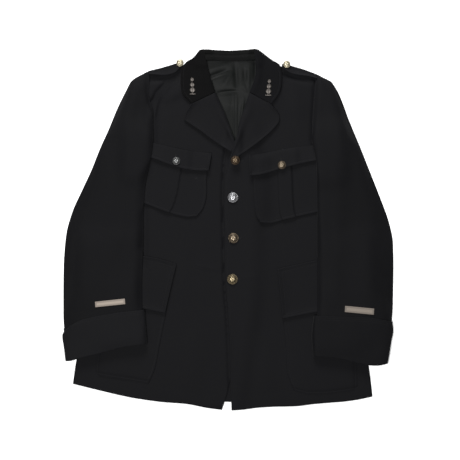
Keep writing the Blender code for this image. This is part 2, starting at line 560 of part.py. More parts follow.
def build():
    clear_scene()
    tops.clear()
    fold = np.array(COLLAR_FOLD)
    straps = {"shoulder_strap_right": np.array(STRAP_RIGHT), "shoulder_strap_left": np.array(STRAP_LEFT)}
    collar_rows = [np.stack([fold[:, 0], fold[:, 1] + depth], axis=-1) for depth in (COLLAR_UNDER, COLLAR_UNDER / 2, 0.5)]
    under_part("collar_below", to_metres(np.array(collar_rows)))
    for name, table in straps.items():
        strap_rows = [np.stack([table[:, 0], table[:, 2] + depth], axis=-1) for depth in (STRAP_UNDER, STRAP_UNDER / 2, 0.5)]
        under_part(name + "_below", to_metres(np.array(strap_rows)))

    lay("back_panel", "wool", BACK, even(12), even(18))
    lay("back_lining", "satin", BACK_LINING, even(5), even(8), wall=LINING_WALL)
    lay("front_right", "wool", FRONT_RIGHT, edged(11, 0.02, (True, False)), even(27), extra=body_lift, folds=FOLDS_FRONT_RIGHT)
    lay("front_left", "wool", FRONT_LEFT, edged(11, 0.02, (False, True)), even(27), extra=body_lift, folds=FOLDS_FRONT_LEFT)

    below = ("collar_below", "shoulder_strap_right_below", "shoulder_strap_left_below")
    folded("collar_back", "wool", fold[:, 0], fold[:, 1], fold[:, 1] + STAND_DEPTH, COLLAR_UNDER, skip=below)
    lay("lapel_right", "wool", LAPEL_RIGHT, even(5), even(10), skip=("collar_back",), extra=roll(ROLL_RISE, True))
    lay("lapel_left", "wool", LAPEL_LEFT, even(5), even(10), skip=("collar_back",), extra=roll(ROLL_RISE, False))
    lay("collar_leaf_right", "wool", COLLAR_RIGHT, even(5), even(9), skip=("lapel_right",), extra=roll(ROLL_RISE, True))
    lay("collar_leaf_left", "wool", COLLAR_LEFT, even(5), even(9), skip=("lapel_left",), extra=roll(ROLL_RISE, False))

    for name, table in straps.items():
        folded(name, "wool", table[:, 0], table[:, 2], table[:, 1], STRAP_UNDER, skip=below + ("collar_leaf_right", "collar_leaf_left"))

    lay("chest_pocket_right", "wool", CHEST_POCKET_RIGHT, pleat_cols(0.36, 0.60), even(7), extra=pleated(0.36, 0.60, PLEAT_RISE))
    lay("chest_pocket_left", "wool", CHEST_POCKET_LEFT, pleat_cols(0.36, 0.58), even(7), extra=pleated(0.36, 0.58, PLEAT_RISE))
    lay("chest_flap_right", "wool", CHEST_FLAP_RIGHT, even(8), even(3), skip=("lapel_right",))
    lay("chest_flap_left", "wool", CHEST_FLAP_LEFT, even(8), even(3), skip=("lapel_left",))
    lay("lower_pocket_right", "wool", LOWER_POCKET_RIGHT, even(6), even(8))
    lay("lower_pocket_left", "wool", LOWER_POCKET_LEFT, even(6), even(8))
    lay("lower_flap_right", "wool", LOWER_FLAP_RIGHT, even(6), even(4))
    lay("lower_flap_left", "wool", LOWER_FLAP_LEFT, even(6), even(4))

    skip = ("shoulder_strap_right", "shoulder_strap_left", "collar_back")
    lay("cuff_under_right", "wool", CUFF_BACK_RIGHT, even(6), even(3))
    lay("cuff_under_left", "wool", CUFF_BACK_LEFT, even(6), even(3))
    lay("sleeve_under_right", "wool", SLEEVE_RIGHT, even(7, 0.035, 0.965), even(18, 0.0, 0.95), skip=skip)
    lay("sleeve_under_left", "wool", SLEEVE_LEFT, even(7, 0.035, 0.965), even(18, 0.0, 0.95), skip=skip)
    lay("sleeve_top_right", "wool", SLEEVE_RIGHT, edged(10, 0.014), even(22), skip=skip, drop_cols=(0, -1), extra=puff(SLEEVE_PUFF), folds=FOLDS_SLEEVE_RIGHT)
    lay("sleeve_top_left", "wool", SLEEVE_LEFT, edged(10, 0.014), even(22), skip=skip, drop_cols=(0, -1), extra=puff(SLEEVE_PUFF), folds=FOLDS_SLEEVE_LEFT)
    lay("cuff_top_right", "wool", CUFF_RIGHT, edged(8, 0.03), even(4), drop_cols=(0, -1))
    lay("cuff_top_left", "wool", CUFF_LEFT, edged(8, 0.03), even(4), drop_cols=(0, -1))
    lay("sleeve_tape_right", "braid", TAPE_RIGHT, even(5), even(1), wall=TAPE_WALL, skip=("cuff_top_right",))
    lay("sleeve_tape_left", "braid", TAPE_LEFT, even(5), even(1), wall=TAPE_WALL, skip=("cuff_top_left",))

    for entry in DISCS:
        disc(entry)
    sprig("collar_sprig_right", 192.8, 77.6, 95.4, -0.6, "collar_leaf_right")
    sprig("collar_sprig_left", 268.0, 79.6, 96.6, 1.4, "collar_leaf_left")


build()
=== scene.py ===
# %% [markdown]
# A wool uniform jacket on a pale floor
# This lesson dresses a laid-out jacket, piece by piece, in the order in which the garment is folded together.
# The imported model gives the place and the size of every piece, so it is loaded first and never moved.
# Its box is kept, because the finished jacket has to stay as large as the model.

# %% Load the frame
import sys
import json
import math
import bpy
import numpy as np
from collections import namedtuple
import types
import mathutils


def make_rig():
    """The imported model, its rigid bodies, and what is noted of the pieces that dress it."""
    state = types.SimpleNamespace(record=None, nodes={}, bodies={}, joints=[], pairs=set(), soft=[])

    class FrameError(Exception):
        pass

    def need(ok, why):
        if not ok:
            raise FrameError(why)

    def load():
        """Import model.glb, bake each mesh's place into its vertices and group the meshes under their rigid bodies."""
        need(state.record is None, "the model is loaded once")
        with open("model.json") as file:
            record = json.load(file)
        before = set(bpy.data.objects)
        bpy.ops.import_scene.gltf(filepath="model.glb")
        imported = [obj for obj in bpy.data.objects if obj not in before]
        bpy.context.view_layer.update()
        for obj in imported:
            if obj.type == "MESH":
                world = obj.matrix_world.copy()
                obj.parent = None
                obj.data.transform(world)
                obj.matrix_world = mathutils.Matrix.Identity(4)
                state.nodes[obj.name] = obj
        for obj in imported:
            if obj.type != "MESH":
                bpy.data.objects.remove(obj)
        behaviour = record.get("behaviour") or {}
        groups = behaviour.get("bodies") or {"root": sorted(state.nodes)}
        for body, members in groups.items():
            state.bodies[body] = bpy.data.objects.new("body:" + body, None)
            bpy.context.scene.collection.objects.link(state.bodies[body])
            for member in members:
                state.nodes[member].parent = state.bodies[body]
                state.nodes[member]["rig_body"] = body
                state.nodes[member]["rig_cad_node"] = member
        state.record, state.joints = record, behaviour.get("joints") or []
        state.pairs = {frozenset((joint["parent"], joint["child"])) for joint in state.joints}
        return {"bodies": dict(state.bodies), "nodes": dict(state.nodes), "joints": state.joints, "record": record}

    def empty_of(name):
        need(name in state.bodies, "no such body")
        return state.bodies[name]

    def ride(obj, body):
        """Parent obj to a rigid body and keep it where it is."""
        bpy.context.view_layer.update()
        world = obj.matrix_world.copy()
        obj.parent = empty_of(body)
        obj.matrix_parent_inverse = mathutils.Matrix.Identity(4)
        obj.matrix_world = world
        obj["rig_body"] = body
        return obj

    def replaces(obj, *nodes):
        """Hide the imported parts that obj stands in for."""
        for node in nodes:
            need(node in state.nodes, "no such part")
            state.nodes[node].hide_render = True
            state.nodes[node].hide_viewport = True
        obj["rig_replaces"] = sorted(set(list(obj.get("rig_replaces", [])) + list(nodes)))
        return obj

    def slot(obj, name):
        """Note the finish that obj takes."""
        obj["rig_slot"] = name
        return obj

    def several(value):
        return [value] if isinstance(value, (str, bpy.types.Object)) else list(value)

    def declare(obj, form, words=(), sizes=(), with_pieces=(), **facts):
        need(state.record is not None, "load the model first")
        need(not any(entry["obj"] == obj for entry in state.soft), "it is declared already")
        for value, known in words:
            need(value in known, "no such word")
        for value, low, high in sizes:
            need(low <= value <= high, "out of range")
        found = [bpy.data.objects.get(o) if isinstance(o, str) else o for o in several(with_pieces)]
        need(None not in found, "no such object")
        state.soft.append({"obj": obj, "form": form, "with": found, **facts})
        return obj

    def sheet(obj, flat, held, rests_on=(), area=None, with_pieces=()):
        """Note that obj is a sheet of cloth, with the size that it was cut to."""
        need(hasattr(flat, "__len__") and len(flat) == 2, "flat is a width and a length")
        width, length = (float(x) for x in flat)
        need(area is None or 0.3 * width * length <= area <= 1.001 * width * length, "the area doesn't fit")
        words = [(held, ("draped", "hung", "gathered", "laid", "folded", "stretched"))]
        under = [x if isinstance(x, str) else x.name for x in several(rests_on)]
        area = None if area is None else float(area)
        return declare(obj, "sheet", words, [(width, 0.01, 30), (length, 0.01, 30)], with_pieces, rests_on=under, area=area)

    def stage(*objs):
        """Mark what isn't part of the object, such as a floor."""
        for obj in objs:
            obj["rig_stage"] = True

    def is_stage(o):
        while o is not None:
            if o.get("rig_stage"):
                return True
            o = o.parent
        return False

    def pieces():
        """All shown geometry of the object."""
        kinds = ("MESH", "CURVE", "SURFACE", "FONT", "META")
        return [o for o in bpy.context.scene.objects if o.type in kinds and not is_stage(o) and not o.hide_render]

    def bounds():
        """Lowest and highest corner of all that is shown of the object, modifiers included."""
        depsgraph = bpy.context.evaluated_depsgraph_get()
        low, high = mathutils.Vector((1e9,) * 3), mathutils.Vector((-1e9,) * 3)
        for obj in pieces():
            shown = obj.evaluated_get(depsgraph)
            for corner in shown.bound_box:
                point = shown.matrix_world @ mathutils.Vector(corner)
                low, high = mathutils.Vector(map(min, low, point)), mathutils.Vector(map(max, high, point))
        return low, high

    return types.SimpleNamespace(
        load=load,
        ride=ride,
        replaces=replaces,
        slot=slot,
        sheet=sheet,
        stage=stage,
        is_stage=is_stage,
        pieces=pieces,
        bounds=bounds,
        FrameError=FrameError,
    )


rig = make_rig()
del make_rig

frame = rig.load()
cad_box = [[float(v) for v in corner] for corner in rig.bounds()]
print("nodes", len(frame["nodes"]), "box", cad_box)

# %% [markdown]
# A laid-out garment is easiest to plan on a flat sheet, as a cutter does.
# One unit of the layout sheet is 2.2 mm, x grows to the right and y grows down towards the hem.
# Points given in such units keep the tables short, and one function turns them into metres.

# %% Sizes and the layout sheet
UNIT = 0.0022
MID_X = 228.1991
MID_Y = 229.6567
CLOTH = 0.0018
LINING_WALL = 0.0012
TAPE_WALL = 0.0008
GAP = 0.0004
CELL = 0.002
HALF_X = 0.40
HALF_Y = 0.43
NX = int(2 * HALF_X / CELL) + 1
NY = int(2 * HALF_Y / CELL) + 1
STITCH_IN = 0.0058
Outline = namedtuple("Outline", "bottom top left right")
Fold = namedtuple("Fold", "x0 y0 x1 y1 width height")


def to_metres(points):
    """Layout (x, y) to metres: offset from the middle times the unit, with y turned to grow upwards."""
    table = np.asarray(points, dtype=float)
    return np.stack([(table[..., 0] - MID_X) * UNIT, (MID_Y - table[..., 1]) * UNIT], axis=-1)


print("sheet", NX, "x", NY, "cells of", CELL * 1000, "mm")

# %% [markdown]
# Each cut piece is given by its four edges, read from the hem upwards or from left to right.
# A smooth curve runs through the few points of an edge, so a dozen numbers draw a whole front.
# Two opposite edges are enough for a strip; a full outline needs all four.

# %% The cutter's tables
BACK = Outline(
    bottom=[(77, 382), (103, 388), (150, 396), (200, 401), (228, 401.9), (262, 401.6), (310, 398), (345, 394), (369, 391)],
    top=[(152, 78), (176, 70), (198, 62), (206, 59), (229, 60), (252, 59), (264, 64), (290, 72), (312, 83)],
    left=[(77, 382), (84, 340), (93, 290), (102, 240), (112, 185), (119, 156), (133, 138), (145, 114), (151.5, 94), (152, 78)],
    right=[(369, 391), (364, 350), (357, 290), (350, 240), (344, 190), (341, 162), (326, 152), (315, 134), (311.5, 110), (312, 83)])
BACK_LINING = Outline(
    bottom=[(225, 150), (243, 150)],
    top=[(198, 60.5), (262, 60.5)],
    left=[(225, 150), (214, 120), (205, 92), (198, 60.5)],
    right=[(243, 150), (251, 120), (260, 92), (262, 60.5)])
FRONT_RIGHT = Outline(
    bottom=[(72.8, 383.7), (90, 388), (103, 391.2), (131, 397.5), (160, 401.8), (189, 404.3), (208, 408.1), (221.9, 409.9)],
    top=[(146.6, 75.8), (150.6, 72.9), (157, 72), (164, 71), (176, 67.6), (190, 62.6), (203.5, 55.6)],
    left=[(72.8, 383.7), (75.7, 364), (80.1, 340), (89.5, 290), (98.5, 240), (108.5, 185), (115.5, 156), (130, 136), (139.5, 112), (143.6, 92), (146.6, 75.8)],
    right=[(221.9, 409.9), (227.6, 392), (236, 340), (243, 290), (245, 240), (245, 190), (243, 162), (234, 142), (227.5, 124), (222, 109), (216, 96), (208.5, 71), (203.5, 55.6)])
FRONT_LEFT = Outline(
    bottom=[(231.5, 410.2), (243, 409.6), (257, 407.8), (270, 406.9), (300, 405.9), (312, 404.3), (329, 402.8), (345, 401.5), (357, 399.8), (372.6, 396.5)],
    top=[(256.5, 55.6), (270, 62.6), (288, 69), (302, 73.4), (312, 76.2), (318.4, 79.4)],
    left=[(231.5, 410.2), (230.5, 385), (229.8, 350), (228, 316), (226, 291), (225, 273), (224.6, 240), (223.7, 200), (224.3, 178), (228, 164), (232, 150), (236.5, 137), (240, 122), (245, 108), (249, 94), (256, 77), (256.5, 55.6)],
    right=[(372.6, 396.5), (371, 382), (369.4, 370), (366.5, 350), (361, 290), (354, 240), (347.5, 190), (344.5, 160), (330, 149), (321, 133), (318.6, 112), (318.4, 79.4)])
LAPEL_RIGHT = Outline(
    bottom=[(230.5, 152), (234.6, 150.6)],
    top=[(191.6, 104.5), (215.3, 93.1)],
    left=[(230.5, 152), (224, 148.2), (212, 140), (200, 131), (189, 123.6), (184.4, 120), (184.6, 117), (191.6, 104.5)],
    right=[(234.6, 150.6), (234.8, 142), (230.8, 130), (222.8, 108.6), (215.3, 93.1)])
LAPEL_LEFT = Outline(
    bottom=[(230.6, 158), (235, 160.4)],
    top=[(249.3, 93.1), (271.3, 105.1)],
    left=[(230.6, 158), (233.2, 146), (236.4, 137), (239.4, 122), (244.4, 108), (249.3, 93.1)],
    right=[(235, 160.4), (240.4, 156), (250, 149), (262, 140), (273, 130), (279.2, 121.5), (279.4, 117.5), (271.3, 105.1)])
COLLAR_RIGHT = Outline(
    bottom=[(191.6, 104.4), (215.2, 93)],
    top=[(199.6, 51.2), (203.8, 50.1)],
    left=[(191.6, 104.4), (182.2, 93.5), (181.2, 88), (181.2, 74), (183, 66.5), (187.4, 62.0), (192.9, 59.1), (199.6, 51.2)],
    right=[(215.2, 93), (208.6, 71), (203.8, 50.1)])
COLLAR_LEFT = Outline(
    bottom=[(249.4, 93), (271.4, 105)],
    top=[(254.0, 49.8), (257.8, 50.6)],
    left=[(249.4, 93), (255.2, 77), (255.2, 62), (254.0, 49.8)],
    right=[(271.4, 105), (279.4, 93.4), (280.8, 89), (280.8, 70), (279.4, 65.9), (271.6, 60.9), (264.6, 55.6), (257.8, 50.6)])
CHEST_POCKET_RIGHT = Outline(
    bottom=[(144, 203.4), (157, 208.6), (171, 213.6), (188, 217.2), (197, 216.2)],
    top=[(147, 148), (170, 153.5), (208, 160)],
    left=[(144, 203.4), (147, 148)],
    right=[(197, 216.2), (203, 209), (206.2, 199), (206.8, 180), (208, 160)])
CHEST_POCKET_LEFT = Outline(
    bottom=[(260.6, 222.8), (271.4, 223.4), (283, 220.4), (296, 217.2), (321, 211.4)],
    top=[(251.6, 164), (285, 157), (320, 150)],
    left=[(260.6, 222.8), (256.6, 217), (254.8, 209), (253.4, 185), (251.6, 164)],
    right=[(321, 211.4), (320, 150)])
CHEST_FLAP_RIGHT = Outline(
    bottom=[(147, 156.8), (158, 160.6), (169, 164.8), (184.5, 169.4), (197, 171.2), (209, 171.2)],
    top=[(148, 141.5), (170, 147), (190, 151), (212, 153.4)],
    left=[(147, 156.8), (148, 141.5)],
    right=[(209, 171.2), (212, 153.4)])
CHEST_FLAP_LEFT = Outline(
    bottom=[(249.4, 176.2), (258, 175.6), (268.6, 173.2), (280, 169.4), (300, 164.3), (321, 160)],
    top=[(248.6, 156), (270, 152), (295, 147.5), (321, 144.5)],
    left=[(249.4, 176.2), (248.6, 156)],
    right=[(321, 160), (321, 144.5)])
LOWER_POCKET_RIGHT = Outline(
    bottom=[(95, 374.6), (103, 376.4), (125, 380), (148.6, 383.8)],
    top=[(104, 268), (140, 269.5), (173, 276)],
    left=[(95, 374.6), (99, 320), (104, 268)],
    right=[(148.6, 383.8), (155, 368.6), (160, 344), (165.7, 315.7), (173, 276)])
LOWER_POCKET_LEFT = Outline(
    bottom=[(293.6, 390.4), (306, 394), (329, 394), (345, 392), (358, 390)],
    top=[(280.4, 281), (300, 276), (350, 268)],
    left=[(293.6, 390.4), (287.4, 373), (285.7, 344), (283, 321), (280.4, 281)],
    right=[(358, 390), (355, 320), (350, 268)])
LOWER_FLAP_RIGHT = Outline(
    bottom=[(98, 303.4), (120, 305), (145.7, 309), (165.5, 313)],
    top=[(102, 254.4), (144, 255.8), (160, 258.6), (177, 263.8)],
    left=[(98, 303.4), (102, 254.4)],
    right=[(165.5, 313), (171.4, 287), (177, 263.8)])
LOWER_FLAP_LEFT = Outline(
    bottom=[(282.2, 318.6), (297, 315.6), (315.7, 312), (352, 306)],
    top=[(277.2, 268.6), (300, 263.6), (317, 260), (351, 254.5)],
    left=[(282.2, 318.6), (280, 294), (277.2, 268.6)],
    right=[(352, 306), (351, 254.5)])
SLEEVE_RIGHT = Outline(
    bottom=[(69, 356.6), (96, 351), (124, 344), (146, 340.8)],
    top=[(149.5, 71.6), (149.6, 81), (149, 90), (150, 100), (153, 110)],
    left=[(69, 356.6), (65.4, 335), (64, 315), (63.8, 285), (64.4, 258), (67.4, 230), (73.5, 210), (82.7, 190), (92, 170), (100, 150), (109, 130), (117.3, 109.8), (126.7, 90.6), (131.4, 82.2), (139, 76.6), (149.5, 71.6)],
    right=[(146, 340.8), (142.6, 309), (142.2, 287), (143.6, 240), (143.8, 206), (146, 183), (151, 159), (153.2, 140), (153, 110)])
SLEEVE_LEFT = Outline(
    bottom=[(316, 352.4), (335.7, 354.4), (357, 358.6), (384, 359.8)],
    top=[(311.6, 141), (312.4, 118), (313.6, 100), (314.8, 90), (315.7, 74.4)],
    left=[(316, 352.4), (317, 312), (317, 240), (316.8, 190), (315.6, 160), (311.6, 141)],
    right=[(384, 359.8), (389.4, 335), (391.8, 315), (392.8, 285), (392.9, 255), (392.2, 239), (388.4, 222), (376.6, 190), (368.7, 170), (360.7, 150), (348.8, 121), (336.2, 90), (330.6, 82), (323, 78), (315.7, 74.4)])
CUFF_RIGHT = Outline(
    bottom=[(66.2, 360.6), (73, 359.8), (80, 357.4), (96, 353.6), (124, 346.4), (147.4, 343.4)],
    top=[(71.4, 325.4), (78.6, 320.8), (96, 315.8), (117, 312), (144.6, 309)],
    left=[(66.2, 360.6), (64.6, 346), (63.3, 334), (71.4, 325.4)],
    right=[(147.4, 343.4), (144.6, 309)])
CUFF_LEFT = Outline(
    bottom=[(313, 355.8), (335.7, 357.4), (357, 362), (369, 364.6), (378, 364.8), (387, 363)],
    top=[(313.8, 314.8), (343, 315.8), (371, 317), (391.4, 321.4)],
    left=[(313, 355.6), (311.6, 335), (313.8, 314.8)],
    right=[(387, 363), (389.2, 350), (390.4, 341), (392.7, 331), (391.6, 321.4)])
CUFF_BACK_RIGHT = Outline(
    bottom=[(70, 357.4), (96, 351.4), (124, 344.4), (146, 341)],
    top=[(63.4, 328.4), (90, 321), (142, 312)],
    left=[(70, 357.4), (66, 345), (63.4, 328.4)],
    right=[(146, 341), (142, 312)])
CUFF_BACK_LEFT = Outline(
    bottom=[(316, 352.4), (335.7, 354), (357, 358.4), (384, 359.4)],
    top=[(317, 318), (355, 320), (392.6, 325.8)],
    left=[(316, 352.4), (317, 318)],
    right=[(384, 359.4), (388.8, 342), (392.6, 325.8)])
TAPE_RIGHT = Outline(
    bottom=[(96.4, 306.7), (126.2, 303.5)],
    top=[(96, 301.2), (125.7, 298)],
    left=[(96.4, 306.7), (96, 301.2)],
    right=[(126.2, 303.5), (125.7, 298)])
TAPE_LEFT = Outline(
    bottom=[(343.8, 311.4), (372.8, 314.2)],
    top=[(344.2, 305.2), (373.2, 308)],
    left=[(343.8, 311.4), (344.2, 305.2)],
    right=[(372.8, 314.2), (373.2, 308)])

print("tables of", 1 + sum(1 for v in list(globals().values()) if isinstance(v, Outline)), "outlines")

# %% [markdown]
# A cloth panel is a surface of two parameters: u runs across it and v runs up it.
# Its place is worked out from the four edge curves by adding the two straight blends and taking the corners away once.
# The grid could be even, but a sewn edge needs more points: it turns over, and a line of stitches lies just inside it.
# So the steps are fine near every edge, at fixed distances in metres, and even in between.

# %% Edge curves and the panel grid
EDGE_STEPS = np.array([0.0, 0.0005, 0.0012, 0.0026, 0.0048, STITCH_IN, 0.0068, 0.0100])
STITCH_AT = 5


def along(points, share):
    """Point of an edge curve: cubic between two table points, with the slope there taken from the neighbours."""
    table = to_metres(points)
    steps = np.hypot(*np.diff(table, axis=0).T)
    place = np.concatenate([[0.0], np.cumsum(steps)]) / steps.sum()
    share = np.clip(np.asarray(share, dtype=float), 0.0, 1.0)
    index = np.clip(np.searchsorted(place, share, side="right") - 1, 0, len(place) - 2)
    span = (place[index + 1] - place[index])[..., None]
    t = (share - place[index])[..., None] / span
    p0 = table[index]
    p1 = table[index + 1]
    if len(table) == 2:
        return p0 + t * (p1 - p0)
    slope = np.gradient(table, place, axis=0)
    m0 = slope[index] * span * 0.8
    m1 = slope[index + 1] * span * 0.8
    return (2 * t ** 3 - 3 * t ** 2 + 1) * p0 + (t ** 3 - 2 * t ** 2 + t) * m0 + (3 * t ** 2 - 2 * t ** 3) * p1 + (t ** 3 - t ** 2) * m1


def patch(outline, u, v):
    """Panel point: blend of left and right, plus blend of bottom and top, less the blend of the four corners."""
    left = along(outline.left, v)
    right = along(outline.right, v)
    low_left, high_left = along(outline.left, np.array([0.0, 1.0]))
    low_right, high_right = along(outline.right, np.array([0.0, 1.0]))
    u = u[..., None]
    v = v[..., None]
    edge = []
    for points, start, end in ((outline.bottom, low_left, low_right), (outline.top, high_left, high_right)):
        ends = along(points, np.array([0.0, 1.0]))
        edge.append(along(points, u[..., 0]) + (1 - u) * (start - ends[0]) + u * (end - ends[1]))
    blend = (1 - v) * edge[0] + v * edge[1] + (1 - u) * left + u * right
    corner = (1 - v) * ((1 - u) * low_left + u * low_right) + v * ((1 - u) * high_left + u * high_right)
    return blend - corner


def shares(lengths, count):
    """Positions across rows of the given lengths: the edge steps on both sides, and count even steps between."""
    shrink = np.minimum(1.0, 0.40 * lengths / EDGE_STEPS[-1])
    low = EDGE_STEPS[None, :] * (shrink / lengths)[:, None]
    high = 1.0 - low[:, ::-1]
    mid = low[:, -1:] + (high[:, :1] - low[:, -1:]) * np.linspace(0, 1, count + 1)[None, 1:-1]
    return np.concatenate([low, mid, high], axis=1)


def panel_grid(outline, step, u_range=(0.0, 1.0), v_range=(0.0, 1.0)):
    """Grid of a panel: u and v shares whose edge steps keep their distance in metres, put through the patch."""
    coarse = np.linspace(0, 1, 33)
    uu, vv = np.meshgrid(u_range[0] + (u_range[1] - u_range[0]) * coarse, v_range[0] + (v_range[1] - v_range[0]) * coarse)
    rough = patch(outline, uu, vv)
    widths = np.hypot(*np.diff(rough, axis=1).transpose(2, 0, 1)).sum(axis=1)
    heights = np.hypot(*np.diff(rough, axis=0).transpose(2, 0, 1)).sum(axis=0)
    cols = max(3, int(round(widths.max() / step)))
    rows = max(3, int(round(heights.max() / step)))
    v_mean = shares(np.array([heights.mean()]), rows)[0]
    u_mean = shares(np.array([widths.mean()]), cols)[0]
    u = shares(np.interp(v_mean, coarse, widths), cols)
    v = shares(np.interp(u_mean, coarse, heights), rows).T
    xy = patch(outline, u_range[0] + (u_range[1] - u_range[0]) * u, v_range[0] + (v_range[1] - v_range[0]) * v)
    return xy, u, v


print("edge steps", (EDGE_STEPS * 1000).tolist(), "mm, stitches at", EDGE_STEPS[STITCH_AT] * 1000)

# %% [markdown]
# Cloth laid on cloth takes the shape of what lies under it, softened by its own stiffness.
# A cloth simulation could find that shape, but thirty layers half a millimetre apart would need very small steps.
# A height map does it in one pass: each new piece reads the highest surface below, widened and blurred, and rests on it.
# Widening comes first, so the blur can never let one layer sink into another.

# %% The height map
tops = {}


def widen(field, cells):
    """Highest value within so many cells, across and then up."""
    for axis in (0, 1):
        out = field.copy()
        for step in range(1, cells + 1):
            out = np.maximum(out, np.maximum(np.roll(field, step, axis=axis), np.roll(field, -step, axis=axis)))
        field = out
    return field


def soften(field, cells):
    """Mean over so many cells each way, across and then up, twice."""
    for axis in (0, 1, 0, 1):
        total = field.copy()
        for step in range(1, cells + 1):
            total = total + np.roll(field, step, axis=axis) + np.roll(field, -step, axis=axis)
        field = total / (2 * cells + 1)
    return field


def sample(field, xy):
    """Height at free points: the four cells around each, weighed by nearness."""
    fx = np.clip((xy[..., 0] + HALF_X) / CELL, 0, NX - 2)
    fy = np.clip((xy[..., 1] + HALF_Y) / CELL, 0, NY - 2)
    ix = fx.astype(int)
    iy = fy.astype(int)
    tx = fx - ix
    ty = fy - iy
    low = field[iy, ix] * (1 - tx) + field[iy, ix + 1] * tx
    high = field[iy + 1, ix] * (1 - tx) + field[iy + 1, ix + 1] * tx
    return low * (1 - ty) + high * ty


def ground_of(skip=(), only=None):
    """Upper envelope of the pieces laid so far."""
    field = np.zeros((NY, NX))
    for name, top in tops.items():
        if name not in skip and (only is None or name in only):
            field = np.maximum(field, top)
    return field


def note_top(name, xy, z):
    """Enter a piece in the map: every grid cell is filled with points less than a map cell apart."""
    longest = max(np.hypot(*np.diff(xy, axis=0).transpose(2, 0, 1)).max(), np.hypot(*np.diff(xy, axis=1).transpose(2, 0, 1)).max())
    parts = max(2, int(math.ceil(longest / (CELL * 0.7))))
    field = np.zeros((NY, NX))
    for s in np.linspace(0, 1, parts + 1):
        for t in np.linspace(0, 1, parts + 1):
            w = ((1 - s) * (1 - t), s * (1 - t), (1 - s) * t, s * t)
            p = w[0] * xy[:-1, :-1] + w[1] * xy[:-1, 1:] + w[2] * xy[1:, :-1] + w[3] * xy[1:, 1:]
            h = w[0] * z[:-1, :-1] + w[1] * z[:-1, 1:] + w[2] * z[1:, :-1] + w[3] * z[1:, 1:]
            ix = np.clip(np.rint((p[..., 0] + HALF_X) / CELL).astype(int), 0, NX - 1)
            iy = np.clip(np.rint((p[..., 1] + HALF_Y) / CELL).astype(int), 0, NY - 1)
            np.maximum.at(field, (iy.ravel(), ix.ravel()), h.ravel())
    tops[name] = widen(field, 1)


def rest_heights(xy, skip=(), step=0.004, soft=2, only=None):
    """Resting height: the envelope plus the gap, widened by the blur and one grid step, and then blurred."""
    ground = ground_of(skip, only)
    need = np.where(ground > 1e-6, ground + GAP, 0.0)
    reach = 2 * soft + int(math.ceil(step / CELL))
    return sample(soften(widen(need, reach), soft), xy), sample(widen(need, 1), xy), sample(soften(widen(need, 5), 2), xy)


print("map cell", CELL * 1000, "mm")

# %% [markdown]
# Real cloth is never quite flat. Large folds are laid where the jacket shows them, each along its own line.
# Between them the wool swells and sinks by a fraction of a millimetre, which a few slow waves of fixed phase give.
# Both only ever lift a panel, so nothing is pushed into the layer below.

# %% Folds and slow swells
def ridge(xy, folds):
    """Soft folds: height times exp of minus the squared distance in widths, faded at both ends of the line."""
    total = np.zeros(xy.shape[:2])
    for fold in folds:
        start, end = to_metres([(fold.x0, fold.y0), (fold.x1, fold.y1)])
        run = end - start
        t = (xy - start) @ run / (run @ run)
        near = start + t.clip(0, 1)[..., None] * run
        far = np.hypot(*(xy - near).transpose(2, 0, 1)) / (fold.width * UNIT)
        total = total + fold.height * np.exp(-far ** 2) * (0.15 + 0.85 * np.sin(np.pi * t.clip(0, 1)) ** 0.7)
    return total


def groove(xy, points, width, depth):
    """Sunk line: depth times exp of minus the squared distance to a chain of points, counted in widths."""
    table = to_metres(points)
    nearest = np.full(xy.shape[:2], np.inf)
    for start, end in zip(table[:-1], table[1:]):
        run = end - start
        t = ((xy - start) @ run / (run @ run)).clip(0, 1)
        nearest = np.minimum(nearest, np.hypot(*(xy - start - t[..., None] * run).transpose(2, 0, 1)))
    return -depth * np.exp(-(nearest / (width * UNIT)) ** 2)


def swell(xy, seed, height=0.0009, length=0.12):
    """Slow waves: the mean of seven sines of set directions and phases, moved up so that it never falls below zero."""
    rng = np.random.default_rng(seed)
    angle = rng.uniform(0, np.pi, 7)
    phase = rng.uniform(0, 2 * np.pi, 7)
    scale = 2 * np.pi / (length * rng.uniform(0.55, 1.8, 7))
    wave = np.zeros(xy.shape[:2])
    for a, p, k in zip(angle, phase, scale):
        wave += np.sin(k * (xy[..., 0] * np.cos(a) + xy[..., 1] * np.sin(a)) + p)
    return height * (0.5 + wave / 14)


print("a fold of width 6 fades to a third", 6 * UNIT * 1000, "mm from its line")

# %% [markdown]
# A panel becomes a closed shell: the laid grid below, the same grid raised by the wall above, and a rim between.
# Woollen edges are turned in, pressed and stitched, so they end in a round lip and not in a square step.
# The wall therefore thins over the last millimetre, swells a little before the stitches and dips along them.

# %% From grids to a mesh
def edge_distance(xy):
    """Distance from each grid point to the four edges, along its own row and column."""
    across = np.hypot(*np.diff(xy, axis=1).transpose(2, 0, 1))
    up = np.hypot(*np.diff(xy, axis=0).transpose(2, 0, 1))
    zero_row = np.zeros((1, xy.shape[1]))
    zero_col = np.zeros((xy.shape[0], 1))
    left = np.hstack([zero_col, np.cumsum(across, axis=1)])
    bottom = np.vstack([zero_row, np.cumsum(up, axis=0)])
    return {"left": left, "right": left[:, -1:] - left, "bottom": bottom, "top": bottom[-1:] - bottom}


def wall_profile(distance, round_at=0.0014):
    """Part of the full wall at a distance from a sewn edge: a quarter ellipse, then flat."""
    t = np.clip(distance / round_at, 0, 1)
    return 0.30 + 0.70 * np.sqrt(1 - (1 - t) ** 2)


def normals_of(grid):
    """Unit normals of a grid of points: the cross product of its two slopes, turned to point up on the whole."""
    normal = np.cross(np.gradient(grid, axis=1), np.gradient(grid, axis=0))
    normal /= np.linalg.norm(normal, axis=2, keepdims=True) + 1e-12
    return normal if normal[..., 2].mean() > 0 else -normal


ROLL_TURN = np.radians([-70.0, -10.0, 48.0, 90.0])


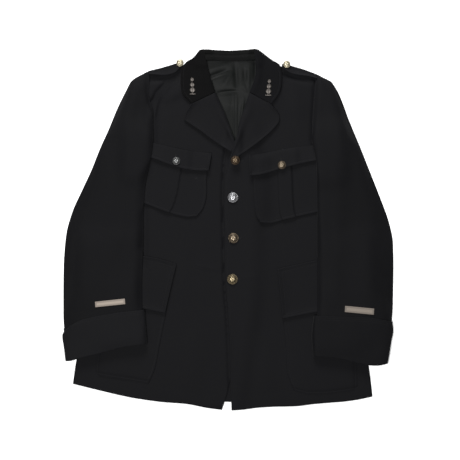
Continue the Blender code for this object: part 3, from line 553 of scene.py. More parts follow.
def roll_under(grid, low, side, reach=0.34):
    """Side of a tube: the edge columns go round a half ellipse, from under the fold, over its outermost line, to the top."""
    take = (lambda j: j) if side == "left" else (lambda j: -1 - j)
    edge = grid[:, take(0), :2].copy()
    base = grid[:, take(len(ROLL_TURN) - 1)].copy()
    inward = base[:, :2] - edge
    bottom = low[:, take(0)] + 0.0008
    middle = bottom + 0.46 * (base[:, 2] - bottom)
    for j, turn in enumerate(ROLL_TURN):
        share = (1 - math.cos(turn)) * (1.0 if turn > 0 else reach)
        half = (base[:, 2] - middle) if turn > 0 else (middle - bottom)
        grid[:, take(j), :2] = edge + inward * share
        grid[:, take(j), 2] = middle + half * math.sin(turn)
    return grid


def make_mesh(name, lower, upper, rim=None, grain=0.0):
    """Closed shell: lower grid turned down, upper grid, and one wall of quads around them."""
    rows, cols = lower.shape[:2]
    count = rows * cols
    base = (np.arange(rows - 1)[:, None] * cols + np.arange(cols - 1)[None]).ravel()
    quad = np.stack([base, base + 1, base + cols + 1, base + cols], axis=1)
    ring = np.concatenate([np.arange(cols), np.arange(1, rows) * cols + cols - 1, count - 1 - np.arange(1, cols), (rows - 1 - np.arange(1, rows - 1)) * cols])
    after = np.roll(ring, -1)
    wall = np.stack([ring, after, after + count, ring + count], axis=1)
    points = np.concatenate([lower.reshape(-1, 3), upper.reshape(-1, 3)])
    faces = np.concatenate([quad[:, ::-1], quad + count, wall])
    a, b, c, d = (points[faces[:, k]] for k in range(4))
    volume = np.einsum("ij,ij->i", a, np.cross(b, c)).sum() + np.einsum("ij,ij->i", a, np.cross(c, d)).sum()
    if volume < 0:
        faces = faces[:, ::-1]
    return add_mesh(name, points, faces, rim, grain)


def add_mesh(name, points, faces, rim=None, grain=0.0):
    """Object at the origin whose mesh holds the place, with a map along the grain and a rim attribute."""
    mesh = bpy.data.meshes.new(name)
    mesh.from_pydata(points.tolist(), [], faces.tolist())
    mesh.polygons.foreach_set("use_smooth", np.ones(len(mesh.polygons), dtype=bool))
    mesh.update()
    mesh.set_sharp_from_angle(angle=math.radians(52))
    index = np.empty(len(mesh.loops), dtype=np.int32)
    mesh.loops.foreach_get("vertex_index", index)
    c, s = math.cos(grain), math.sin(grain)
    flat = np.stack([points[:, 0] * c + points[:, 1] * s, points[:, 1] * c - points[:, 0] * s], axis=1)
    layer = mesh.uv_layers.new(name="grain")
    layer.data.foreach_set("uv", flat[index].astype(np.float32).ravel())
    if rim is not None:
        mesh.attributes.new("rim", "FLOAT", "POINT").data.foreach_set("value", np.asarray(rim, dtype=np.float32))
    item = bpy.data.objects.new(name, mesh)
    bpy.context.scene.collection.objects.link(item)
    return item


def flat_size(xyz, grain=0.0):
    """Cut size: extent along and across the grain, and the area of the middle surface."""
    c, s = math.cos(grain), math.sin(grain)
    across = xyz[..., 0] * c + xyz[..., 1] * s
    up = xyz[..., 1] * c - xyz[..., 0] * s
    p = xyz
    n1 = np.cross(p[:-1, 1:] - p[:-1, :-1], p[1:, 1:] - p[:-1, :-1])
    n2 = np.cross(p[1:, 1:] - p[:-1, :-1], p[1:, :-1] - p[:-1, :-1])
    area = 0.5 * (np.linalg.norm(n1, axis=2).sum() + np.linalg.norm(n2, axis=2).sum())
    width = float(np.ptp(across))
    length = float(np.ptp(up))
    return width, length, float(min(area, width * length))


print("a sewn edge starts at", wall_profile(0.0), "of the wall")

# %% [markdown]
# Materials are node trees. Small helpers keep them readable: one adds a node and sets its inputs, one wires a sum.
# An effect that several cloths share, such as the weave, is a node group with named inputs and outputs.
# A group only hands back masks and heights, and each material feeds them to its own shader.

# %% Node helpers
def node(tree, kind, values=None, **settings):
    """Add a node, apply its settings, then fill or link its inputs."""
    made = tree.nodes.new(kind)
    for key, value in settings.items():
        setattr(made, key, value)
    for key, value in (values or {}).items():
        if isinstance(value, bpy.types.NodeSocket):
            tree.links.new(value, made.inputs[key])
        else:
            made.inputs[key].default_value = value
    return made


def calc(tree, operation, a, b=0.0, c=None):
    """One Math node; a, b and c are numbers or sockets."""
    values = {0: a, 1: b} if c is None else {0: a, 1: b, 2: c}
    return node(tree, "ShaderNodeMath", values, operation=operation).outputs[0]


def group(name, inputs, outputs):
    """Empty node group with its sockets; returns the group and its two end nodes."""
    tree = bpy.data.node_groups.new(name, "ShaderNodeTree")
    for label, kind, value in inputs:
        socket = tree.interface.new_socket(name=label, in_out="INPUT", socket_type=kind)
        if value is not None:
            socket.default_value = value
    for label, kind in outputs:
        tree.interface.new_socket(name=label, in_out="OUTPUT", socket_type=kind)
    return tree, tree.nodes.new("NodeGroupInput"), tree.nodes.new("NodeGroupOutput")


# %% [markdown]
# Uniform wool is a fine twill: each yarn passes over two and under one, one step further in each row.
# The steps line up as thin slanting ridges. They come from two sine waves on the grain map, crossed by the yarns.
# A milled finish blurs them with fibre, so a small noise is added before the height leaves the group.

# %% Twill weave and nap
def make_twill():
    """Height of ridges on x + y at the pitch, plus yarns on x and on y, plus fibre noise; tint is the same, softened."""
    tree, start, end = group(
        "twill", [("Vector", "NodeSocketVector", None), ("Pitch", "NodeSocketFloat", 0.0011), ("Fibre", "NodeSocketFloat", 0.5)],
        [("Height", "NodeSocketFloat"), ("Tint", "NodeSocketFloat")])
    turns = calc(tree, "DIVIDE", 2 * math.pi, start.outputs["Pitch"])
    parts = node(tree, "ShaderNodeSeparateXYZ", {0: start.outputs["Vector"]})
    x, y = parts.outputs[0], parts.outputs[1]
    slope = calc(tree, "MULTIPLY", calc(tree, "ADD", x, y), turns)
    ridges = calc(tree, "SINE", slope)
    yarn_x = calc(tree, "SINE", calc(tree, "MULTIPLY", x, calc(tree, "MULTIPLY", turns, 3.0)))
    yarn_y = calc(tree, "SINE", calc(tree, "MULTIPLY", y, calc(tree, "MULTIPLY", turns, 3.0)))
    yarns = calc(tree, "MULTIPLY", calc(tree, "ADD", yarn_x, yarn_y), 0.25)
    fibre = node(tree, "ShaderNodeTexNoise", {"Vector": start.outputs["Vector"], "Scale": 2600.0, "Detail": 3.0, "Roughness": 0.7})
    fuzz = calc(tree, "MULTIPLY", calc(tree, "SUBTRACT", fibre.outputs[0], 0.5), calc(tree, "MULTIPLY", start.outputs["Fibre"], 4.0))
    total = calc(tree, "ADD", calc(tree, "ADD", ridges, yarns), fuzz)
    tree.links.new(calc(tree, "MULTIPLY_ADD", total, 0.25, 0.5), end.inputs["Height"])
    tree.links.new(calc(tree, "MULTIPLY_ADD", total, 0.10, 0.5), end.inputs["Tint"])
    return tree


TWILL = make_twill()
print("group", TWILL.name, [s.name for s in TWILL.interface.items_tree])

# %% [markdown]
# Worn dark cloth shows three faint things: broad tone changes where it was pressed, pale rubbed edges, and lint.
# One group gives a mask for each, so the wool, the lining and the tapes can use them in their own amounts.

# %% Wear, tone and lint
def make_wear():
    """Tone is slow noise, Rub is the rim attribute broken up by noise, Lint is the inside of rare small noise peaks."""
    tree, start, end = group(
        "wear", [("Vector", "NodeSocketVector", None), ("Rim", "NodeSocketFloat", 0.0)],
        [("Tone", "NodeSocketFloat"), ("Rub", "NodeSocketFloat"), ("Lint", "NodeSocketFloat")])
    vector = start.outputs["Vector"]
    slow = node(tree, "ShaderNodeTexNoise", {"Vector": vector, "Scale": 9.0, "Detail": 3.0, "Roughness": 0.55})
    patchy = node(tree, "ShaderNodeTexNoise", {"Vector": vector, "Scale": 70.0, "Detail": 2.0})
    specks = node(tree, "ShaderNodeTexVoronoi", {"Vector": vector, "Scale": 55.0}, feature="F1")
    pick = node(tree, "ShaderNodeTexWhiteNoise", {"Vector": specks.outputs["Position"]}, noise_dimensions="3D")
    near = calc(tree, "LESS_THAN", specks.outputs["Distance"], 0.022)
    rare = calc(tree, "GREATER_THAN", pick.outputs["Value"], 0.965)
    tree.links.new(slow.outputs[0], end.inputs["Tone"])
    tree.links.new(calc(tree, "MULTIPLY", start.outputs["Rim"], patchy.outputs[0]), end.inputs["Rub"])
    tree.links.new(calc(tree, "MULTIPLY", near, rare), end.inputs["Lint"])
    return tree


WEAR = make_wear()
print("group", WEAR.name)


def shader_of(name):
    """New material and its Principled shader."""
    material = bpy.data.materials.new(name)
    material.use_nodes = True
    return material, material.node_tree, material.node_tree.nodes["Principled BSDF"]


def mix(tree, factor, a, b):
    """Colour mix; factor, a and b are values or sockets."""
    made = node(tree, "ShaderNodeMix", data_type="RGBA")
    for index, value in ((0, factor), (6, a), (7, b)):
        if isinstance(value, bpy.types.NodeSocket):
            tree.links.new(value, made.inputs[index])
        else:
            made.inputs[index].default_value = value
    return made.outputs[2]


# %% [markdown]
# The wool is almost black, and its matt look comes from fibre, not from paint: rough, with a faint sheen at the side.
# Tone, rub and lint only shift the base colour a little. On cloth this dark a stronger change would read as dirt.

# %% Wool
def wool(name, dark, light, gloss=0.11, bump=0.35, pitch=0.0011, fibre=0.5):
    """Base colour from tone, twill tint, rub and lint; bump from the twill height."""
    material, tree, shader = shader_of(name)
    grain = node(tree, "ShaderNodeUVMap", uv_map="grain").outputs[0]
    place = node(tree, "ShaderNodeTexCoord").outputs["Object"]
    rim = node(tree, "ShaderNodeAttribute", attribute_name="rim").outputs["Fac"]
    twill = node(tree, "ShaderNodeGroup", node_tree=TWILL)
    twill.inputs["Pitch"].default_value = pitch
    twill.inputs["Fibre"].default_value = fibre
    tree.links.new(grain, twill.inputs["Vector"])
    wear = node(tree, "ShaderNodeGroup", node_tree=WEAR)
    tree.links.new(place, wear.inputs["Vector"])
    tree.links.new(rim, wear.inputs["Rim"])
    tone = calc(tree, "MULTIPLY_ADD", wear.outputs["Tone"], 1.0, calc(tree, "SUBTRACT", twill.outputs["Tint"], 0.5))
    colour = mix(tree, tone, (*dark, 1), (*light, 1))
    rubbed = mix(tree, calc(tree, "MULTIPLY", wear.outputs["Rub"], 0.12), colour, tuple(2.1 * c for c in light) + (1,))
    linted = mix(tree, calc(tree, "MULTIPLY", wear.outputs["Lint"], 0.5), rubbed, (0.16, 0.16, 0.17, 1))
    tree.links.new(linted, shader.inputs["Base Color"])
    rough = calc(tree, "MULTIPLY_ADD", wear.outputs["Tone"], 0.10, 0.66)
    tree.links.new(rough, shader.inputs["Roughness"])
    bumped = node(tree, "ShaderNodeBump", {"Strength": bump, "Distance": 0.0003, "Height": twill.outputs["Height"]})
    tree.links.new(bumped.outputs[0], shader.inputs["Normal"])
    shader.inputs["Specular IOR Level"].default_value = gloss
    shader.inputs["Sheen Weight"].default_value = 0.02
    shader.inputs["Sheen Roughness"].default_value = 0.5
    return material


WOOL = wool("wool_body", (0.0016, 0.0016, 0.0021), (0.0035, 0.0035, 0.0044), 0.086)
# A lighter copy of the body wool for the right cuff: painted light, because that cuff lies on the brighter side.
WOOL_CUFF = wool("wool_cuff", (0.0017, 0.0017, 0.0022), (0.0038, 0.0038, 0.0048), 0.094)
# A darker copy of the body wool for the sleeves and the left cuff: painted shade.
WOOL_SLEEVE = wool("wool_sleeve", (0.0014, 0.0014, 0.0018), (0.0033, 0.0033, 0.0041), 0.079)
WOOL_COLLAR = wool("wool_collar", (0.0007, 0.0007, 0.0008), (0.0020, 0.0019, 0.0020), 0.048)
WOOL_COLLAR_COOL = wool("wool_collar_cool", (0.0010, 0.0010, 0.0014), (0.0026, 0.0026, 0.0033), 0.062)
# A darker copy of the body wool for the collar stand inside the neck: painted shade, where the collar leaves shade it.
WOOL_STAND = wool("wool_stand", (0.0007, 0.0008, 0.0008), (0.0021, 0.0022, 0.0021), 0.056, bump=0.2)
print("wool in", len([m for m in bpy.data.materials if m.name.startswith("wool_")]), "shades")

# %% [markdown]
# Satin lining floats long threads on its face, so it shines along them in soft bands.
# A smooth roughness, an anisotropic highlight and a very fine rib are enough; the creases are real geometry.

# %% Satin
def satin(name):
    """Base colour from slow tone, roughness from the same, bump from fine ribs."""
    material, tree, shader = shader_of(name)
    grain = node(tree, "ShaderNodeUVMap", uv_map="grain").outputs[0]
    place = node(tree, "ShaderNodeTexCoord").outputs["Object"]
    wear = node(tree, "ShaderNodeGroup", node_tree=WEAR)
    tree.links.new(place, wear.inputs["Vector"])
    colour = mix(tree, wear.outputs["Tone"], (0.0008, 0.0012, 0.0010, 1), (0.0026, 0.0033, 0.0029, 1))
    tree.links.new(colour, shader.inputs["Base Color"])
    tree.links.new(calc(tree, "MULTIPLY_ADD", wear.outputs["Tone"], 0.14, 0.46), shader.inputs["Roughness"])
    twill = node(tree, "ShaderNodeGroup", node_tree=TWILL)
    twill.inputs["Pitch"].default_value = 0.0006
    twill.inputs["Fibre"].default_value = 0.1
    tree.links.new(grain, twill.inputs["Vector"])
    bumped = node(tree, "ShaderNodeBump", {"Strength": 0.12, "Distance": 0.0002, "Height": twill.outputs["Height"]})
    tree.links.new(bumped.outputs[0], shader.inputs["Normal"])
    shader.inputs["Specular IOR Level"].default_value = 0.105
    shader.inputs["Anisotropic"].default_value = 0.35
    return material


SATIN = satin("satin_lining")

# %% [markdown]
# The old metal is not all alike: one button is nearly silver, others are brass gone grey, and one is dark bronze.
# The rim attribute on these pieces holds the relief: high places are rubbed bright and low places keep their dark
# patina.
# On the buttons the outer rim is held low too, so its dark colour there is painted shade.

# %% Metal
def metal(name, bright, tarnish, rough=0.30, amount=0.75):
    """Base colour from the relief and a fine noise: the dark colour is oxide in the hollows and painted shade on a
    button's outer rim; roughness rises where it lies.
    """
    material, tree, shader = shader_of(name)
    place = node(tree, "ShaderNodeTexCoord").outputs["Object"]
    relief = node(tree, "ShaderNodeAttribute", attribute_name="rim").outputs["Fac"]
    cloud = node(tree, "ShaderNodeTexNoise", {"Vector": place, "Scale": 420.0, "Detail": 4.0, "Roughness": 0.6})
    worn = calc(tree, "ADD", calc(tree, "MULTIPLY", relief, 1.1), calc(tree, "MULTIPLY_ADD", cloud.outputs[0], 0.9, -0.55))
    mask = node(tree, "ShaderNodeClamp", {0: calc(tree, "MULTIPLY_ADD", worn, 1.0, 1.0 - amount)}).outputs[0]
    tree.links.new(mix(tree, mask, (*tarnish, 1), (*bright, 1)), shader.inputs["Base Color"])
    tree.links.new(calc(tree, "MULTIPLY_ADD", mask, -0.22, rough + 0.24), shader.inputs["Roughness"])
    shader.inputs["Metallic"].default_value = 1.0
    bumped = node(tree, "ShaderNodeBump", {"Strength": 0.15, "Distance": 0.0001, "Height": cloud.outputs[0]})
    tree.links.new(bumped.outputs[0], shader.inputs["Normal"])
    return material


METALS = {
    "bronze": metal("metal_bronze", (0.168, 0.124, 0.080), (0.012, 0.008, 0.006), 0.27, 1.0),
    "silver": metal("metal_silver", (0.506, 0.506, 0.524), (0.045, 0.045, 0.047), 0.22, 0.95),
    "steel": metal("metal_steel", (0.235, 0.240, 0.237), (0.020, 0.020, 0.020), 0.25, 1.0),
    "brass": metal("metal_brass", (0.298, 0.242, 0.173), (0.024, 0.018, 0.013), 0.25, 1.0),
    "old_brass": metal("metal_old_brass", (0.358, 0.292, 0.183), (0.026, 0.020, 0.012), 0.24, 1.0),
    "gilt": metal("metal_gilt", (0.470, 0.430, 0.320), (0.120, 0.105, 0.070), 0.24, 0.80),
    "sprig": metal("metal_sprig", (0.095, 0.086, 0.079), (0.016, 0.014, 0.013), 0.42, 0.95),
}
print("metals", list(METALS))

# %% [markdown]
# The sleeve tapes are pale ribbed braid and the sewing thread is black with a little shine.
# Braid shows its ribs across the length, so two sine waves on the grain map give it ribs across the tape and wales
# along it.

# %% Braid and thread
def braid(name, shade=1.0):
    """Base colour from ribs, a darker line near both long edges and soft dirt; bump from the ribs."""
    material, tree, shader = shader_of(name)
    grain = node(tree, "ShaderNodeUVMap", uv_map="grain").outputs[0]
    place = node(tree, "ShaderNodeTexCoord").outputs["Object"]
    rim = node(tree, "ShaderNodeAttribute", attribute_name="rim").outputs["Fac"]
    parts = node(tree, "ShaderNodeSeparateXYZ", {0: grain})
    ribs = calc(tree, "SINE", calc(tree, "MULTIPLY", parts.outputs[0], 2 * math.pi / 0.0011))
    wale = calc(tree, "SINE", calc(tree, "MULTIPLY", parts.outputs[1], 2 * math.pi / 0.0016))
    height = calc(tree, "MULTIPLY_ADD", calc(tree, "ADD", ribs, calc(tree, "MULTIPLY", wale, 0.5)), 0.25, 0.5)
    wear = node(tree, "ShaderNodeGroup", node_tree=WEAR)
    tree.links.new(place, wear.inputs["Vector"])
    cloth = mix(tree, height, (0.250 * shade, 0.205 * shade, 0.165 * shade, 1), (0.430 * shade, 0.370 * shade, 0.310 * shade, 1))
    soiled = mix(tree, calc(tree, "MULTIPLY", wear.outputs["Tone"], 0.5), cloth, (0.260 * shade, 0.225 * shade, 0.190 * shade, 1))
    band = node(tree, "ShaderNodeMapRange", {0: rim, 1: 0.30, 2: 0.42, 3: 0.0, 4: 0.55}).outputs[0]
    tree.links.new(mix(tree, band, soiled, (0.150 * shade, 0.125 * shade, 0.110 * shade, 1)), shader.inputs["Base Color"])
    bumped = node(tree, "ShaderNodeBump", {"Strength": 0.5, "Distance": 0.0003, "Height": height})
    tree.links.new(bumped.outputs[0], shader.inputs["Normal"])
    shader.inputs["Roughness"].default_value = 0.85
    return material


def thread(name, colour, rough=0.6):
    """Twisted thread: one colour broken by a fine noise."""
    material, tree, shader = shader_of(name)
    place = node(tree, "ShaderNodeTexCoord").outputs["Object"]
    twist = node(tree, "ShaderNodeTexNoise", {"Vector": place, "Scale": 1800.0, "Detail": 2.0})
    light = tuple(1.7 * c for c in colour)
    tree.links.new(mix(tree, twist.outputs[0], (*colour, 1), (*light, 1)), shader.inputs["Base Color"])
    shader.inputs["Roughness"].default_value = rough
    shader.inputs["Specular IOR Level"].default_value = 0.2
    return material


BRAID = braid("braid_tape", 0.82)
# A darker copy of the same braid for the left tape: painted shade. The shade factor scales every colour of the braid.
BRAID_DULL = braid("braid_tape_dull", 0.53)
THREAD = thread("thread_black", (0.0035, 0.0035, 0.0042), 0.7)
THREAD_PALE = thread("thread_pale", (0.19, 0.16, 0.13))
print("materials", len(bpy.data.materials))

# %% [markdown]
# Laying a panel is the same for every piece, so one function does it: grid, resting height, folds, wall, mesh and the
# calls that tie the piece to the frame. A side that is a fold and not an edge drops beside the layer below,
# which closes the sleeve as a tube. Lines of stitches follow the grid column that was kept for them.

# %% Lay one panel
stitch_lines = []
cut_sizes = {}
uppers = {}


def tie(piece, name, slot, flat=None, rests_on=()):
    """Ride on the one body, stand for the node and, where it is a sheet, state its cut."""
    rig.ride(piece, "root")
    if name:
        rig.replaces(piece, name)
    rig.slot(piece, slot)
    if flat:
        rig.sheet(piece, flat=(flat[0], flat[1]), held="laid", rests_on=list(rests_on), area=flat[2])
        cut_sizes[piece.name] = [round(v, 4) for v in flat]


def lay_cloth(name, outline, material, slot="wool", step=0.0042, wall=CLOTH, skip=(), drop=(), stitch=(), extra=None,
              folds=(), seed=1, waves=0.0008, grain=0.0, u_range=(0.0, 1.0), v_range=(0.0, 1.0), rests_on=(), soft=2,
              round_at=0.0019, fall=0.007, flush=(), flush_over=0.012, lift=0.0, tube=False,
              reach=(0.026, 0.026), grooves=(), smooth_skip=()):
    """Panel from its outline: z is the resting height plus folds and swells; upper is z plus the profiled wall."""
    xy, u, v = panel_grid(outline, step, u_range, v_range)
    z, low, near_low = rest_heights(xy, skip, step, soft)
    if smooth_skip:
        z = rest_heights(xy, tuple(skip) + tuple(smooth_skip), step, soft)[0]
    far = edge_distance(xy)
    for side in ([] if tube else drop):
        edge = {"left": low[:, :1], "right": low[:, -1:], "bottom": low[:1], "top": low[-1:]}[side]
        t = np.clip(far[side] / fall, 0, 1)
        z = np.maximum(edge + (z - edge) * np.sqrt(1 - (1 - t) ** 2), np.where(t < 1, low, z))
    near = np.minimum.reduce(list(far.values()))
    if tube:
        t = np.clip(np.minimum(far["left"] / reach[0], far["right"] / reach[1]), 0, 1)
        z = near_low + (z - near_low) * (1 - (1 - t) ** 2)
    z = z + (extra(u, v) if extra is not None else 0.0)
    z = z + (ridge(xy, folds) if folds else 0.0)
    for points, width, depth in grooves:
        z = z + groove(xy, points, width, depth)
    z = np.maximum(z, low)
    z = z + (swell(xy, seed, waves) * np.clip(near / 0.02, 0, 1) if waves else 0.0)
    for side in flush:
        t = np.clip(far[side] / flush_over, 0, 1)
        z = z - (wall + GAP) * (1 - t * t * (3 - 2 * t))
    free = [s for s in far if s not in flush]
    near = np.minimum.reduce([far[s] for s in free])
    if lift:
        z = z + lift * np.maximum.reduce([np.exp(-(far[s] / 0.010) ** 1.5) for s in stitch])
    thick = wall * np.minimum.reduce([wall_profile(far[s], round_at) for s in free])
    for side in stitch:
        thick = thick + 0.00010 * np.exp(-((far[side] - 0.0028) / 0.0016) ** 2) - 0.00034 * np.exp(-((far[side] - STITCH_IN) / 0.0007) ** 2)
    if tube:
        middle = np.dstack([xy, z + wall / 2])
        for side in drop:
            middle = roll_under(middle, low, side)
        normal = normals_of(middle)
        lower = middle - normal * thick[..., None] / 2
        upper = middle + normal * thick[..., None] / 2
    else:
        lower = np.dstack([xy, z])
        upper = np.dstack([xy, z + thick])
    rim = np.exp(-near / 0.0035).ravel()
    piece = make_mesh(name + "_cloth", lower, upper, np.concatenate([rim, rim]), grain)
    piece.data.materials.append(material)
    note_top(name, xy, z + thick)
    uppers[name] = upper
    tie(piece, name, slot, flat_size((lower + upper) / 2, grain), rests_on)
    k = STITCH_AT
    lines = {"left": upper[k:-k, k], "right": upper[k:-k, -1 - k], "bottom": upper[k, k:-k], "top": upper[-1 - k, k:-k]}
    for side in stitch:
        stitch_lines.append((name, lines[side]))
    return piece


floor_mesh = bpy.data.meshes.new("floor")
floor_mesh.from_pydata([(-3, -3, -0.0004), (3, -3, -0.0004), (3, 3, -0.0004), (-3, 3, -0.0004)], [], [(0, 1, 2, 3)])
floor = bpy.data.objects.new("floor", floor_mesh)
bpy.context.scene.collection.objects.link(floor)
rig.stage(floor)
print("ready to lay", len(frame["nodes"]), "nodes")

# %% [markdown]
# The collar and the shoulder straps fold round a top edge, so part of each lies under the back panel.
# Their lower parts are entered in the map first, as the hand that lays the jacket out would tuck them under.

# %% Collar and strap stations
COLLAR_FOLD = [(199.8, 50.2), (210, 49.9), (229, 50.8), (246, 49.9), (255.6, 49.4)]
COLLAR_UNDER = 24.0
STAND_DEPTH = 11.2
STRAP_UNDER = 15.0
STRAP_RIGHT = [(148.9, 74.6, 71.2), (157, 75.4, 69.4), (164, 75.8, 67.5), (170, 75, 65.8), (176, 72.6, 63.9), (180.4, 68.2, 62.8)]
STRAP_LEFT = [(281.9, 68.4, 64.3), (287, 72.2, 65.1), (294, 74.8, 67), (301, 76, 69), (308, 76.8, 71.3), (316.6, 79.0, 74.7)]


def stations(table, count):
    """Finer stations: each column of the table follows a smooth curve through its rows."""
    table = np.asarray(table, dtype=float)
    place = np.linspace(0, 1, len(table))
    t = np.linspace(0, 1, count)
    index = np.clip((t * (len(table) - 1)).astype(int), 0, len(table) - 2)
    s = (t * (len(table) - 1) - index)[:, None]
    slope = np.gradient(table, axis=0)
    p0, p1, m0, m1 = table[index], table[index + 1], slope[index], slope[index + 1]
    return (2 * s ** 3 - 3 * s ** 2 + 1) * p0 + (s ** 3 - 2 * s ** 2 + s) * m0 + (3 * s ** 2 - 2 * s ** 3) * p1 + (s ** 3 - s ** 2) * m1


def tuck_under(name, x, fold_y, depth):
    """Enter the part that lies on the floor below the back panel."""
    y = fold_y[None] + depth * np.linspace(1, 0.03, 20)[:, None]
    xy = to_metres(np.stack([np.broadcast_to(x, y.shape), y], axis=-1))
    note_top(name, xy, np.full(xy.shape[:2], CLOTH))


fold_line = stations(COLLAR_FOLD, 60)
strap_lines = {"shoulder_strap_right": stations(STRAP_RIGHT, 40), "shoulder_strap_left": stations(STRAP_LEFT, 40)}
tuck_under("collar_below", fold_line[:, 0], fold_line[:, 1], COLLAR_UNDER)
for strap_name, line in strap_lines.items():
    tuck_under(strap_name + "_below", line[:, 0], line[:, 2], STRAP_UNDER)
print("tucked under:", list(tops))

# %% [markdown]
# The back goes down first and flat. The satin lining shows only inside the neck, so only that part of it is made.
# Light runs along the creases of satin, and eleven short ones, raised or sunk, are what the eye reads as lining.
# Each runs between two fixed points, and two more, narrow and straight, follow the seam of the centre back.

# %% Back and lining
LINING_CREASES = [
    Fold(199, 60, 207, 76, 2.6, -0.0022), Fold(255.6, 60, 255.2, 82, 2.4, -0.0020),
    Fold(202, 80.5, 229, 70.6, 2.3, -0.0026), Fold(206, 71, 229, 64.6, 2.4, 0.0010), Fold(224, 86, 232, 71.5, 2.8, 0.0015),
    Fold(235.2, 63, 236.8, 89, 2.4, -0.0022), Fold(217, 93.6, 239, 91.4, 2.0, -0.0020), Fold(244.4, 68, 244.9, 82, 1.8, -0.0012),
    Fold(248.8, 63, 248.4, 92, 2.0, 0.0011), Fold(242.6, 84, 246.4, 93, 2.0, 0.0010), Fold(243.6, 98, 240.8, 124, 1.6, 0.0012),
    Fold(233.8, 92, 233.8, 148, 1.0, 0.0007), Fold(236.6, 94, 236.2, 142, 1.0, 0.0007)]
lay_cloth("back_panel", BACK, WOOL, step=0.008, waves=0.0, rests_on=["floor"])
lay_cloth("back_lining", BACK_LINING, SATIN, slot="satin", step=0.0022, wall=LINING_WALL, folds=LINING_CREASES, seed=5,
          extra=lambda u, v: 0.0045 * np.clip((v - 0.5) / 0.5, 0, 1) ** 1.6, waves=0.0012, rests_on=["back_panel"])
print("lining creases", len(LINING_CREASES))

# %% [markdown]
# The fronts overlap at the middle: the wearer's left lies on the right. Their side edges fold down beside the back.
# The largest fold of this jacket hangs from the shoulder to the armhole of the right front, where the sleeve pulls the
# chest outwards.

# %% Fronts
FOLDS_FRONT_RIGHT = [
    Fold(196, 265, 221, 270, 2.2, 0.0009), Fold(196, 76, 166, 104, 4.4, 0.0014), Fold(146, 74, 192, 60, 6.4, 0.0052), Fold(166, 112, 161, 148, 6, 0.0012), Fold(200, 190, 214, 250, 12, 0.0012),
    Fold(186, 232, 176, 300, 14, 0.0014), Fold(196, 330, 190, 392, 12, 0.0016), Fold(120, 330, 112, 380, 10, 0.0012)]
FOLDS_FRONT_LEFT = [
    Fold(292, 84, 300, 120, 7, 0.0010), Fold(262, 232, 266, 300, 14, 0.0013),
    Fold(240, 277, 258, 277, 1.6, 0.0006), Fold(262, 330, 268, 392, 12, 0.0016), Fold(229.6, 300, 231, 380, 2.4, 0.0006)]


def belly(u, v, hold=False):
    """Air between front and back: a flat dome, and a chest that falls away over the last share of v; hold keeps it up to u = 1."""
    across = np.clip(np.sin(np.pi * (np.minimum(u, 0.5) if hold else u)), 0, 1)
    chest = np.clip((v - 0.35) / 0.40, 0, 1) ** 2 * np.sin(0.5 * np.pi * np.clip((1 - v) / 0.040, 0, 1)) ** 1.3
    inward = np.clip(np.sin(np.pi * u), 0, 1)
    return 0.0030 * across ** 0.6 * np.clip(np.sin(np.pi * v), 0, 1) ** 0.5 + 0.0040 * chest * inward ** 0.4


EDGE_LINE = [(226, 146), (223.6, 164), (222.6, 178), (222.4, 200), (223.2, 240), (223.8, 273), (224.8, 291), (226.8, 316), (228.6, 350), (229.4, 385), (230.4, 412)]
SLEEVE_LINE = [(151, 104), (153.4, 120), (154, 140), (152, 159), (147.4, 183), (145.2, 206), (144.8, 240), (144.4, 287), (146, 312), (149.4, 344)]
ARMHOLE_LINE = [(160, 92), (152, 99), (148.4, 107), (148.4, 116), (150, 128)]
STRAP_LINE = [(150, 79.5), (160, 79), (170, 78), (178, 75.5), (184, 71)]
STRAP_LINE_LEFT = [(282, 72), (288, 76.5), (296, 79), (306, 80.5), (314, 82)]
SEAM_LINE = [(316.2, 72), (314.8, 90), (313.4, 118), (312.8, 141), (314.4, 152)]
DRAPE_LINE = [(190, 66), (180, 75), (168, 84.4), (158.5, 95), (154, 104), (152, 114)]


lay_cloth("front_right", FRONT_RIGHT, WOOL, step=0.0036, drop=("left",), folds=FOLDS_FRONT_RIGHT, extra=lambda u, v: belly(u, v, True), seed=11,
          grooves=[(EDGE_LINE, 1.25, 0.0027), (SLEEVE_LINE, 3.4, 0.0024), (DRAPE_LINE, 3.8, 0.0088), (STRAP_LINE, 3.2, 0.0048)], rests_on=["back_panel", "back_lining"])
lay_cloth("front_left", FRONT_LEFT, WOOL, soft=6, drop=("right",), stitch=("left",), lift=0.0012, grooves=[(SEAM_LINE, 2.6, 0.0022), (STRAP_LINE_LEFT, 2.8, 0.0044)], folds=FOLDS_FRONT_LEFT, extra=belly, seed=12,
          rests_on=["back_panel", "front_right"])
print("fronts laid, highest", round(float(max(t.max() for t in tops.values())) * 1000, 1), "mm")

# %% [markdown]
# A strip that folds over an edge is a profile: along the floor, round a bend, and back over what it covers.
# The profile is carried along the stations, and the wall grows both ways from it along the surface normal.

